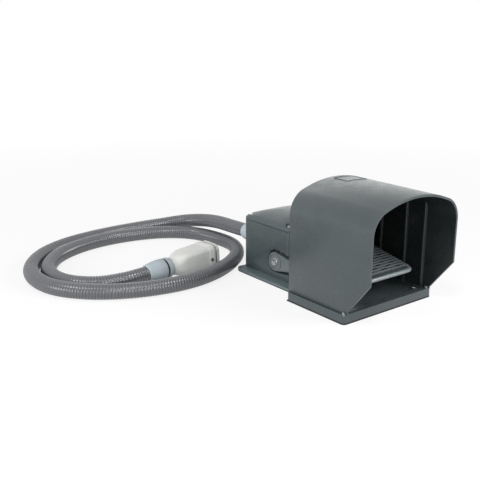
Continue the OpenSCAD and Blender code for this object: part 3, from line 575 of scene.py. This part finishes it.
def tread_wear_and_painted_light(name, colour, roughness):
    """Powder coat of the treadle: its bar tops lighter, partly wear and partly a painted
    highlight, and painted shade in its slots, on the plate between its bars and on their lower
    walls
    """
    r = powder_coat(name, colour, roughness)
    slope = Vector((0, math.cos(TREAD_ANGLE), math.sin(TREAD_ANGLE)))
    normal = Vector((0, -slope.z, slope.y))
    nose = Vector((0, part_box("pedal")[0][1], TREAD_NOSE_Z))
    height = r.maths("SUBTRACT", r.along(normal), nose.dot(normal))
    across = r.along((1, 0, 0))
    reach = r.maths("ABSOLUTE", across)
    row = r.maths("SUBTRACT", r.along(slope), nose.dot(slope) + TREAD_MARGIN)
    row = r.maths("DIVIDE", row, BAR_PITCH)
    # Every second row of slots is moved to the other side
    odd = r.maths("MODULO", r.maths("FLOOR", r.maths("SUBTRACT", row, 0.25)), 2)
    shift = r.ramp(odd, 0, 1, SLOT_PITCH / 4, -SLOT_PITCH / 4)
    beside = r.maths("SUBTRACT", across, shift)
    beside = r.maths("ABSOLUTE", r.maths("WRAP", beside, SLOT_PITCH / 2, -SLOT_PITCH / 2))
    slot = r.ramp(beside, SLOT_HALF, SLOT_HALF + 0.0006, 1, 0)
    last = SLOT_PITCH * 1.25 + SLOT_HALF
    for limit in (
        r.ramp(reach, last, last + 0.0006, 1, 0),
        r.ramp(row, 0.2, 0.3, 0, 1),
        r.ramp(row, BAR_GAPS - 0.9, BAR_GAPS - 0.8, 1, 0),
    ):
        slot = r.maths("MULTIPLY", slot, limit)
    tread = r.ramp(reach, TREAD_HALF, TREAD_HALF + 0.0005, 1, 0)
    painted = r.shader.inputs["Base Color"].links[0].from_socket
    # Painted shade: the plate between the bars and the bars' lower walls are darkened, and near
    # black over the slots
    painted_gap_shade = r.blend(slot, shade_of(colour, 0.55), shade_of(colour, 0.02))
    # Bands by height: the slot walls near black, a painted shade; the plate and lower bar walls as
    # above; the bar tops lighter, partly wear and partly a painted highlight
    for low, high, shade in (
        (SLOT_FOOT, BAR_FOOT, shade_of(colour, 0.03)),
        (BAR_FOOT, BAR_SHOULDER, painted_gap_shade),
        (BAR_SHOULDER, OVER_BARS, shade_of(colour, 1.9)),
    ):
        above = r.ramp(height, low - 0.0001, low + 0.0001, 0, 1)
        below = r.ramp(height, high - 0.0001, high + 0.0001, 1, 0)
        band = r.maths("MULTIPLY", r.maths("MULTIPLY", above, below), tread)
        painted = r.blend(band, painted, shade)
    r.feed("Base Color", painted)


def moulded_plastic(name, colour, roughness, shine=0.5):
    """Moulded plastic with a fine grain"""
    r = Recipe(name, colour, roughness)
    r.shader.inputs["Specular IOR Level"].default_value = shine
    tone = r.cloudy(60, 3, 0.5)
    r.feed("Base Color", r.blend(tone, shade_of(colour, 0.95), shade_of(colour, 1.04)))
    r.feed("Roughness", r.cloudy(140, 2, 0.5, roughness - 0.04, roughness + 0.06))
    r.feed("Normal", r.bump(r.noise(2600, 1, 0.5), 0.1, 0.0001, r.soft_edges(0.0004)))


def bare_metal(name, colour, roughness, stretch=(1, 1, 1)):
    """Plated or turned metal with fine marks from its machining"""
    r = Recipe(name, colour, roughness, 1.0)
    tone = r.ramp(r.noise(300, 4, 0.6), 0.35, 0.7, 0, 1)
    r.feed("Base Color", r.blend(tone, shade_of(colour, 0.86), colour))
    marks = r.noise(900, 3, 0.6, stretch=stretch)
    r.feed("Roughness", r.ramp(marks, 0.3, 0.7, roughness - 0.06, roughness + 0.1))
    r.feed("Normal", r.bump(marks, 0.08, 0.0001, r.soft_edges(0.0003)))


def soft_rubber(name, colour, roughness):
    """Black rubber with a faint bloom"""
    r = Recipe(name, colour, roughness)
    bloom = r.ramp(r.noise(120, 4, 0.6), 0.4, 0.75, 0, 1)
    r.feed("Base Color", r.blend(bloom, colour, shade_of(colour, 1.8)))
    r.feed("Normal", r.bump(r.noise(1800, 2), 0.15, 0.0001))


def conduit_skin(name, colour):
    """Glossy plastic conduit, painted darker in the grooves between its ribs, a painted shade"""
    r = Recipe(name, colour, 0.17)
    base = r.blend(r.cloudy(24, 3, 0.5), shade_of(colour, 0.92), shade_of(colour, 1.08))
    rib = r.add("ShaderNodeAttribute", attribute_name="rib", attribute_type="GEOMETRY")
    crest = r.ramp(rib.outputs["Fac"], 0.2, 1.0, 0, 1)
    # Painted shade: the grooves between the ribs are darkened
    r.feed("Base Color", r.blend(crest, shade_of(colour, 0.72), base))
    r.feed("Roughness", r.cloudy(160, 3, 0.6, 0.12, 0.22))
    r.shader.inputs["Specular IOR Level"].default_value = 0.9
    r.feed("Normal", r.bump(r.noise(1400, 2, 0.5), 0.03, 0.0002))


class FOOTSWITCH_OT_finishes(bpy.types.Operator):
    """Makes the finishes and gives one to each piece of the frame"""

    bl_idname = "footswitch.finishes"
    bl_label = "Finishes"

    def execute(self, context):
        look = context.scene.footswitch_finish
        gloss = look.paint_gloss
        # The hood's coat is painted darker on its inner faces, a painted shade
        powder_coat("hood_coat", tuple(look.hood_colour), gloss, inside=0.25)
        powder_coat("tray_coat", tuple(look.hood_colour), gloss)
        powder_coat("body_coat", tuple(look.body_colour), gloss)
        powder_coat("lid_coat", shade_of(look.body_colour, 1.2), gloss)
        tread_wear_and_painted_light("pedal_coat", tuple(look.pedal_colour), gloss)
        # A lighter copy of the treadle's paint: a painted highlight on the tread lip and the tip
        # lugs
        powder_coat("lip_coat", shade_of(look.pedal_colour, 1.9), gloss - 0.12)
        powder_coat("plate_coat", shade_of(look.body_colour, 2.2), gloss + 0.08)
        soft_rubber("black_rubber", (0.012, 0.012, 0.013), 0.6)
        bare_metal("zinc_plate", (0.74, 0.75, 0.77), 0.26)
        bare_metal("bright_steel", (0.62, 0.63, 0.64), 0.2, stretch=(0.1, 1, 1))
        bare_metal("spring_wire", (0.42, 0.42, 0.43), 0.32)
        bare_metal("bearing_bronze", (0.62, 0.40, 0.20), 0.34)
        bare_metal("contact_silver", (0.83, 0.80, 0.72), 0.24)
        moulded_plastic("black_moulding", (0.02, 0.02, 0.022), 0.42)
        moulded_plastic("red_moulding", (0.45, 0.03, 0.02), 0.4)
        moulded_plastic("wire_skin", (0.02, 0.06, 0.22), 0.4)
        moulded_plastic("fitting_nylon", tuple(look.fitting_colour), 0.55, shine=0.15)
        powder_coat("plug_coat", tuple(look.plug_colour), 0.48)
        conduit_skin("conduit_skin", tuple(look.conduit_colour))
        finishes = {
            "black_rubber": ("rubber_mat", "lid_gasket", "shaft_seals", "gland_seal",
                             "connector_oring", "connector_gasket"),
            "zinc_plate": ("tray_screws", "hood_screws", "housing_screws", "lid_screws",
                           "stop_screws", "earth_screw", "cam_screw", "arm_screws", "arm_washers",
                           "block_bracket", "bracket_screws", "terminal_screws", "spring_seat",
                           "cam_lever", "spring_cup"),
            "bright_steel": ("pivot_shaft", "connector_pegs"),
            "spring_wire": ("return_spring", "plunger_spring_left", "plunger_spring_right"),
            "bearing_bronze": ("bush_left", "bush_right"),
            "contact_silver": ("fixed_contacts_left", "fixed_contacts_right", "bridge_left",
                               "bridge_right", "connector_sockets"),
            "black_moulding": ("contact_block_left", "contact_block_right", "connector_insert"),
            "red_moulding": ("plunger_left", "plunger_right"),
            "wire_skin": ("wires",),
            "fitting_nylon": ("gland_body", "gland_locknut", "gland_nut", "connector_nut",
                              "connector_adaptor"),
            "plug_coat": ("connector_hood", "connector_collar"),
            "hood_coat": ("hood",),
            "tray_coat": ("tray",),
            "body_coat": ("housing_body",),
            "lid_coat": ("housing_lid",),
            "pedal_coat": ("pedal",),
            "plate_coat": ("base_plate",),
            "conduit_skin": ("conduit",),
        }
        for finish, names in finishes.items():
            for name in names:
                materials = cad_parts[name].data.materials
                materials.clear()
                materials.append(bpy.data.materials[finish])
        return {"FINISHED"}


# ---------------------------------------------------------------- conduit


def smooth_route(points, start, end, steps):
    """Smooth curve through points in millimetres, given its two end directions; in metres"""
    points = [Vector(p) for p in points]
    first = points[0] - Vector(start) * (points[1] - points[0]).length
    last = points[-1] + Vector(end) * (points[-1] - points[-2]).length
    knots = [first] + points + [last]
    path = []
    for i in range(1, len(knots) - 2):
        a, b, c, d = knots[i - 1:i + 3]
        for k in range(steps):
            t = k / steps
            path.append(0.5 * (
                2 * b + (c - a) * t + (2 * a - 5 * b + 4 * c - d) * t * t
                + (3 * b - a - 3 * c + d) * t * t * t
            ) * MM)
    path.append(points[-1] * MM)
    return path


def evenly(path, step):
    """Points along a path at even steps, their distances and the path's length"""
    total = sum((b - a).length for a, b in zip(path, path[1:]))
    count = round(total / step)
    marks = [total * k / count for k in range(count + 1)]
    points, walked, k = [], 0.0, 0
    for a, b in zip(path, path[1:]):
        span = (b - a).length
        while k <= count and marks[k] <= walked + span + 1e-12:
            points.append(a.lerp(b, (marks[k] - walked) / span))
            k += 1
        walked += span
    # Rounding can leave the last point out
    while len(points) < count + 1:
        points.append(path[-1].copy())
    return points, marks, total


class FOOTSWITCH_OT_conduit(bpy.types.Operator):
    """Makes the corrugated conduit along its route"""

    bl_idname = "footswitch.conduit"
    bl_label = "Conduit"

    def execute(self, context):
        sizes = context.scene.footswitch_sizes
        sides = sizes.conduit_sides
        path = smooth_route(CONDUIT_ROUTE, (0, 1, 0), PLUG_AXIS, ROUTE_STEPS)
        points, marks, length = evenly(path, sizes.rib_pitch / RINGS_PER_RIB)
        last = len(points) - 1
        corners, faces, ribs = [], [], []
        for i, point in enumerate(points):
            along = (points[min(i + 1, last)] - points[max(i - 1, 0)]).normalized()
            if i == 0:
                along = Vector((0, 1, 0))
            elif i == last:
                along = PLUG_AXIS
            side = along.cross(Vector((0, 0, 1))).normalized()
            top = side.cross(along)
            for k in range(sides):
                a = 2 * math.pi * k / sides
                turn = marks[i] / sizes.rib_pitch - k / sides
                wave = 0.5 + 0.5 * math.cos(2 * math.pi * turn)
                rib = 1 - (1 - wave) ** RIB_BREADTH
                radius = sizes.conduit_radius - sizes.rib_depth * (1 - rib)
                corners.append(point + radius * (math.cos(a) * side + math.sin(a) * top))
                ribs.append(rib)
        for i in range(last):
            for k in range(sides):
                n = (k + 1) % sides
                faces.append((i * sides + k, (i + 1) * sides + k,
                              (i + 1) * sides + n, i * sides + n))
        faces.append(tuple(range(sides)))
        faces.append(tuple(last * sides + k for k in reversed(range(sides))))
        mesh = bpy.data.meshes.new("conduit_ribbed")
        mesh.from_pydata(corners, [], faces)
        mesh.attributes.new("rib", "FLOAT", "POINT").data.foreach_set("value", ribs)
        hose = bpy.data.objects.new("conduit_ribbed", mesh)
        context.scene.collection.objects.link(hose)
        edit(hose)
        bpy.ops.mesh.normals_make_consistent(inside=False)
        done_editing()
        smooth(hose, 50)
        hand_over(hose, "conduit_ribbed", "conduit_skin", "frame", ("conduit",))
        return {"FINISHED"}


# ---------------------------------------------------------------- castings


class FOOTSWITCH_OT_castings(bpy.types.Operator):
    """Rounds the edges of the hood, tray, plate, housing and treadle"""

    bl_idname = "footswitch.castings"
    bl_label = "Castings"

    def execute(self, context):
        edge = context.scene.footswitch_sizes.casting_edge
        for node, finish, body, slot, size in (
            ("hood", "hood_coat", "frame", "hood_paint", edge),
            ("tray", "tray_coat", "frame", "hood_paint", edge),
            ("base_plate", "plate_coat", "frame", "plate_paint", edge * 0.6),
            ("housing_body", "body_coat", "frame", "body_paint", edge),
            ("pedal", "pedal_coat", "pedal", "pedal_paint", edge * 0.5),
        ):
            hand_over(casting_from(node, size), node + "_casting", finish, body, (node,))
        return {"FINISHED"}


def fall(distance, half, edge, rise):
    """How far the lid's profile has fallen from its crown at this distance from the middle"""
    side = half - edge
    crown = (side ** 2 + rise ** 2 - edge ** 2) / (2 * (rise - edge))
    centre = rise - crown
    turn = math.atan2(-centre, side)
    if distance <= crown * math.cos(turn):
        return crown - math.sqrt(crown ** 2 - distance ** 2)
    reach = min(distance - side, edge)
    return rise - math.sqrt(max(edge ** 2 - reach ** 2, 0.0))


class FOOTSWITCH_OT_lid(bpy.types.Operator):
    """Makes the pillow-shaped lid of the housing with its screw recesses"""

    bl_idname = "footswitch.lid"
    bl_label = "Lid"

    def execute(self, context):
        low, high = corners_of("housing_lid")
        middle = (low + high) / 2
        edge = context.scene.footswitch_sizes.lid_edge
        half_w, half_l = (high.x - low.x) / 2, (high.y - low.y) / 2
        lip, top, squareness = 0.001, high.z - low.z, 3.5
        insets = [edge * (1 - math.cos(math.radians(90 * k / 8))) for k in range(9)]
        insets += [edge + (half_w - edge - 0.003) * k / 12 for k in range(1, 13)]
        shells = []
        for k, inset in enumerate([0.0] + insets):
            outline = rounded_outline(
                (half_w - inset) / MM, (half_l - inset) / MM, max(4 - inset / MM * 0.5, 1),
                steps=4, parts=8,
            )
            ring = []
            for x, y in (Vector(point) * MM for point in outline):
                fall_x = fall(abs(x), half_w, edge, top - lip)
                fall_y = fall(abs(y), half_l, edge, top - lip)
                drop = (fall_x ** squareness + fall_y ** squareness) ** (1 / squareness)
                height = 0.0 if k == 0 else max(top - drop, lip)
                ring.append(Vector((middle.x + x, middle.y + y, low.z + height)))
            shells.append(ring)
        lid = drawn_out(shells, capped=True)
        depth = 0.03
        for x in (RECESS_INSET - half_w, half_w - RECESS_INSET):
            for y in (low.y + RECESS_INSET, high.y - RECESS_INSET):
                nothing_selected()
                bpy.ops.mesh.primitive_cylinder_add(
                    vertices=40, radius=RECESS_RADIUS, depth=depth,
                    location=(x, y, low.z + RECESS_FLOOR + depth / 2),
                )
                cut_away(lid, bpy.context.object)
        modify(
            lid, "BEVEL", width=0.0005, segments=2, limit_method="ANGLE",
            angle_limit=math.radians(38),
        )
        smooth(lid, 30)
        hand_over(lid, "lid_pillow", "lid_coat", "frame", ("housing_lid",))
        return {"FINISHED"}


class FOOTSWITCH_OT_label_place(bpy.types.Operator):
    """Makes the plain rim of the bare label place on top of the hood"""

    bl_idname = "footswitch.label_place"
    bl_label = "Label place"

    def execute(self, context):
        centre_z = corners_of("hood")[1].z - CROWN_RADIUS
        rings = []
        for inset, lift in LABEL_RIM:
            half_w, half_h = (half - inset for half in LABEL_HALF)
            ring = []
            outline = rounded_outline(half_w, half_h, LABEL_CORNER - inset, steps=4, parts=10)
            for u, v in outline:
                x, y = (u + LABEL_MIDDLE[0]) * MM, (v + LABEL_MIDDLE[1]) * MM
                crown = centre_z + math.sqrt(CROWN_RADIUS ** 2 - x ** 2)
                ring.append(Vector((x, y, crown)) + Vector((0, 0, lift * MM)))
            rings.append(ring)
        rim = drawn_out(rings)
        smooth(rim, 40)
        hand_over(rim, "label_place_rim", "hood_coat", "frame")
        return {"FINISHED"}


class FOOTSWITCH_OT_tip_lugs(bpy.types.Operator):
    """Makes the small lugs on the tray that hold the two front tips of the hood"""

    bl_idname = "footswitch.tip_lugs"
    bl_label = "Tip lugs"

    def execute(self, context):
        side_x = corners_of("hood")[1].x
        tray_low, tray_high = corners_of("tray")
        front, top = tray_low.y + 0.0026, tray_high.z + 0.0006
        for side, word in ((-1, "left"), (1, "right")):
            for x, kind in ((side_x + 0.0013, "outer"), (side_x - 0.0045, "inner")):
                nothing_selected()
                bpy.ops.mesh.primitive_cube_add(
                    size=1, location=(side * x, front, top), scale=(0.0022, 0.0036, 0.0048),
                )
                lug = bpy.context.object
                bpy.ops.object.transform_apply(location=True, rotation=True, scale=True)
                modify(lug, "BEVEL", width=0.0009, segments=4)
                smooth(lug, 40)
                # The lugs take the lighter coat, a painted highlight
                hand_over(lug, f"tip_lug_{word}_{kind}", "lip_coat", "frame")
        return {"FINISHED"}


class FOOTSWITCH_OT_tread_lip(bpy.types.Operator):
    """Rolls a round lip along the front and the two front corners of the tread"""

    bl_idname = "footswitch.tread_lip"
    bl_label = "Tread lip"

    def execute(self, context):
        low, high = corners_of("pedal")
        slope = (
            Matrix.Translation((0, low.y, TREAD_NOSE_Z - 0.0019))
            @ Matrix.Rotation(TREAD_ANGLE, 4, "X")
        )
        radius = 0.0028
        turns = [math.radians(30 * k) for k in range(12)]
        round_section = [(radius * math.cos(a), radius * math.sin(a)) for a in turns]
        path = u_path(half=high.x - 0.0025, front=0.0004, back=0.018, radius=0.006)
        lip = along_path(path, round_section, ends=0.35)
        place(lip, slope)
        smooth(lip, 50)
        # The lip takes the lighter coat, a painted highlight
        hand_over(lip, "tread_lip", "lip_coat", "pedal")
        return {"FINISHED"}


class FOOTSWITCH_OT_contact_shadow_strips(bpy.types.Operator):
    """Lays the thin black rubber edges that the tray and the base plate stand on, which give a
    dark line at the floor as a stand-in for contact shadow
    """

    bl_idname = "footswitch.rubber_edges"
    bl_label = "Rubber edges"

    def execute(self, context):
        tray_low, tray_high = corners_of("tray")
        plate_low, plate_high = corners_of("base_plate")
        rear = Matrix.Translation((0, plate_high.y, 0)) @ Matrix.Rotation(math.pi, 4, "Z")
        tray_path = u_path(
            half=tray_high.x - 0.0003, front=tray_low.y + 0.0003, back=-0.0005, radius=0.004,
        )
        plate_path = u_path(
            half=PLATE_HALF - 0.0009, front=0.0009, back=plate_high.y - 0.0015, radius=0.009,
        )
        for name, path, carried, matrix in (
            ("tray_edge", tray_path, tray_low.z, Matrix()),
            ("plate_edge", plate_path, plate_low.z, rear),
        ):
            foot, top = SHADOW_STRIP_GAP, carried - SHADOW_STRIP_GAP
            edge = along_path(path, (
                (-SHADOW_STRIP_HALF, foot), (SHADOW_STRIP_HALF, foot), (SHADOW_STRIP_HALF, top), (-SHADOW_STRIP_HALF, top),
            ))
            place(edge, matrix)
            smooth(edge, 40)
            hand_over(edge, name, "black_rubber", "frame")
        return {"FINISHED"}


class FOOTSWITCH_OT_nuts(bpy.types.Operator):
    """Turns the two dome nuts that clamp the conduit"""

    bl_idname = "footswitch.nuts"
    bl_label = "Dome nuts"

    def execute(self, context):
        for name, length, matrix, replaced in (
            ("gland_dome_nut", 35.5,
             Matrix.Translation((-0.006, 0.1495, 0.04)) @ Matrix.Rotation(-math.pi / 2, 4, "X"),
             "gland_nut"),
            ("plug_dome_nut", 27,
             PLUG_FRAME @ Matrix.Translation((0, 0, 0.027)) @ Matrix.Rotation(math.pi, 4, "X"),
             "connector_nut"),
        ):
            nut = turned([(r, share * length + more) for r, share, more in NUT_PROFILE], sides=72)
            place(nut, matrix)
            smooth(nut, 40)
            hand_over(nut, name, "fitting_nylon", "frame", (replaced,))
        return {"FINISHED"}


class FOOTSWITCH_OT_springs(bpy.types.Operator):
    """Makes the three coil springs from smoothed copies of the CAD coils"""

    bl_idname = "footswitch.springs"
    bl_label = "Springs"

    def execute(self, context):
        for node, joint, travel, fixed_end in (
            ("return_spring", "spring_cup_press", CUP_TRAVEL, 0),
            ("plunger_spring_left", "plunger_left_press", PLUNGER_TRAVEL, 1),
            ("plunger_spring_right", "plunger_right_press", PLUNGER_TRAVEL, 1),
        ):
            coil = copy_of(node)
            smooth(coil, 50)
            hand_over(coil, node + "_coil", "spring_wire", "frame", (node,))
            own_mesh(coil)
        return {"FINISHED"}


class FOOTSWITCH_OT_plug(bpy.types.Operator):
    """Draws out the plug's hood from its round neck to its mouth"""

    bl_idname = "footswitch.plug"
    bl_label = "Plug hood"

    def execute(self, context):
        plug = drawn_out([
            [Vector((x, y, along)) * MM for x, y in rounded_outline(w, h, radius, steps=10)]
            for along, w, h, radius in PLUG_STATIONS
        ])
        place(plug, PLUG_FRAME)
        smooth(plug, 32)
        hand_over(plug, "plug_hood", "plug_coat", "frame", ("connector_hood",))
        return {"FINISHED"}


# ---------------------------------------------------------------- stage


# Lamps: name, place, point that it is aimed at, size, and whether gloss mirrors it
LAMPS = (
    ("overhead", (-0.1, 0.1, 1.5), (0, 0.05, 0), (1.8, 1.8), True),
    ("spark", (-0.75, -0.55, 1.5), (-0.1, 0.1, 0), (0.4, 0.4), True),
    ("rear", (1.1, 2.0, 0.8), (0, 0.1, 0.1), (3.2, 1.5), True),
    ("left", (-1.6, 0.45, 0.35), (-0.05, 0.05, 0.08), (1.2, 0.6), False),
    ("front", (0.75, -1.25, 0.8), (0, 0, 0.05), (1.0, 0.8), True),
    ("fill", (-1.5, -0.8, 0.4), (-0.15, 0.15, 0.03), (0.9, 0.5), True),
)
# Camera: yaw, pitch and roll in degrees, the point it turns about in millimetres, and its distance
CAMERA_TURN = (-43.2, 15.98, 1.88)
CAMERA_PIVOT = (-21.15, -5, 72.77)
CAMERA_DISTANCE = 0.94132


def softbox(name, location, aim, size, mirrored, power):
    """Area lamp aimed at a point; one that isn't mirrored leaves no streak on gloss"""
    nothing_selected()
    bpy.ops.object.light_add(type="AREA", location=location)
    lamp = bpy.context.object
    lamp.name = name
    lamp.data.shape = "RECTANGLE"
    lamp.data.size, lamp.data.size_y = size
    lamp.data.energy = power
    lamp.visible_glossy = mirrored
    lamp.rotation_euler = (Vector(aim) - Vector(location)).to_track_quat("-Z", "Y").to_euler()


class FOOTSWITCH_OT_stage(bpy.types.Operator):
    """Lays the floor, hangs the lamps and sets up the camera"""

    bl_idname = "footswitch.stage"
    bl_label = "Stage"

    def execute(self, context):
        studio = context.scene.footswitch_studio
        self.floor(studio)
        for lamp in LAMPS:
            softbox(*lamp, power=getattr(studio, lamp[0] + "_power"))
        self.room(context, studio)
        self.camera(context)
        context.scene.view_settings.view_transform = "Standard"
        return {"FINISHED"}

    def floor(self, studio):
        nothing_selected()
        bpy.ops.mesh.primitive_plane_add(size=60, location=(0, 0, -0.0002))
        floor = bpy.context.object
        floor.name = "floor"
        bpy.ops.object.transform_apply(location=True)
        r = Recipe("floor_paper", tuple(studio.floor_colour), 0.9)
        r.shader.inputs["Specular IOR Level"].default_value = 0.1
        glow = r.add("ShaderNodeEmission")
        glow.inputs["Color"].default_value = (1, 1, 1, 1)
        glow.inputs["Strength"].default_value = 1.06
        seen = r.seen()
        r.feed("Base Color", r.blend(seen, tuple(studio.floor_colour), (0.94, 0.94, 0.94)))
        reach = r.vectors("LENGTH", r.coords.outputs["Object"], result="Value")
        share = r.maths("MULTIPLY", seen, r.ramp(reach, 0.5, 2.0, 0.76, 0.99))
        r.show(share, r.shader, glow, "Material Output")
        floor.data.materials.append(r.material)

    def room(self, context, studio):
        world = bpy.data.worlds.new("studio_room")
        context.scene.world = world
        world.use_nodes = True
        room = Nodes(world.node_tree)
        dim, white = room.tree.nodes["Background"], room.add("ShaderNodeBackground")
        for light, strength in ((dim, studio.sky), (white, 1)):
            light.inputs["Color"].default_value = (1, 1, 1, 1)
            light.inputs["Strength"].default_value = strength
        room.show(room.seen(), dim, white, "World Output")

    def camera(self, context):
        yaw, pitch, roll = (math.radians(v) for v in CAMERA_TURN)
        back = Vector((
            math.sin(yaw) * math.cos(pitch), -math.cos(yaw) * math.cos(pitch), math.sin(pitch),
        ))
        level = Vector((math.cos(yaw), math.sin(yaw), 0))
        above = back.cross(level)
        right = level * math.cos(roll) + above * math.sin(roll)
        up = above * math.cos(roll) - level * math.sin(roll)
        nothing_selected()
        bpy.ops.object.camera_add()
        camera = bpy.context.object
        camera.name = "studio_camera"
        camera.data.sensor_width = 36
        camera.data.lens = 54.16
        camera.data.shift_x = -0.1767
        camera.data.shift_y = -0.0012
        camera.data.clip_start = 0.01
        turn = Matrix((right, up, back)).transposed().to_4x4()
        spot = Vector(CAMERA_PIVOT) * MM + back * CAMERA_DISTANCE
        camera.matrix_world = Matrix.Translation(spot) @ turn
        context.scene.camera = camera


# ---------------------------------------------------------------- panel and start


class FOOTSWITCH_PT_pieces(bpy.types.Panel):
    """Shows the settings of the foot switch and a button for each step"""

    bl_label = "Foot Switch"
    bl_idname = "FOOTSWITCH_PT_pieces"
    bl_space_type = "VIEW_3D"
    bl_region_type = "UI"
    bl_category = "Foot Switch"

    def draw(self, context):
        for settings in SETTINGS:
            group = getattr(context.scene, settings)
            box = self.layout.box()
            for name in group.bl_rna.properties.keys():
                if name not in ("rna_type", "name"):
                    box.prop(group, name)
        for step in STEPS:
            self.layout.operator(step.bl_idname)


STEPS = (
    FOOTSWITCH_OT_finishes,
    FOOTSWITCH_OT_stage,
    FOOTSWITCH_OT_nuts,
    FOOTSWITCH_OT_plug,
    FOOTSWITCH_OT_conduit,
    FOOTSWITCH_OT_castings,
    FOOTSWITCH_OT_lid,
    FOOTSWITCH_OT_label_place,
    FOOTSWITCH_OT_tip_lugs,
    FOOTSWITCH_OT_tread_lip,
    FOOTSWITCH_OT_contact_shadow_strips,
    FOOTSWITCH_OT_springs,
)
SETTINGS = {
    "footswitch_finish": FootSwitchFinish,
    "footswitch_sizes": FootSwitchSizes,
    "footswitch_studio": FootSwitchStudio,
}


def register():
    for group in SETTINGS.values():
        bpy.utils.register_class(group)
    for step in STEPS:
        bpy.utils.register_class(step)
    bpy.utils.register_class(FOOTSWITCH_PT_pieces)
    for name, group in SETTINGS.items():
        setattr(bpy.types.Scene, name, PointerProperty(type=group))


def unregister():
    for name in SETTINGS:
        delattr(bpy.types.Scene, name)
    bpy.utils.unregister_class(FOOTSWITCH_PT_pieces)
    for step in reversed(STEPS):
        bpy.utils.unregister_class(step)
    for group in SETTINGS.values():
        bpy.utils.unregister_class(group)


def main():
    register()
    bpy.ops.footswitch.finishes()
    bpy.ops.footswitch.stage()
    bpy.ops.footswitch.nuts()
    bpy.ops.footswitch.plug()
    bpy.ops.footswitch.conduit()
    bpy.ops.footswitch.castings()
    bpy.ops.footswitch.lid()
    bpy.ops.footswitch.label_place()
    bpy.ops.footswitch.tip_lugs()
    bpy.ops.footswitch.tread_lip()
    bpy.ops.footswitch.rubber_edges()
    bpy.ops.footswitch.springs()


if __name__ == "__main__":
    main()
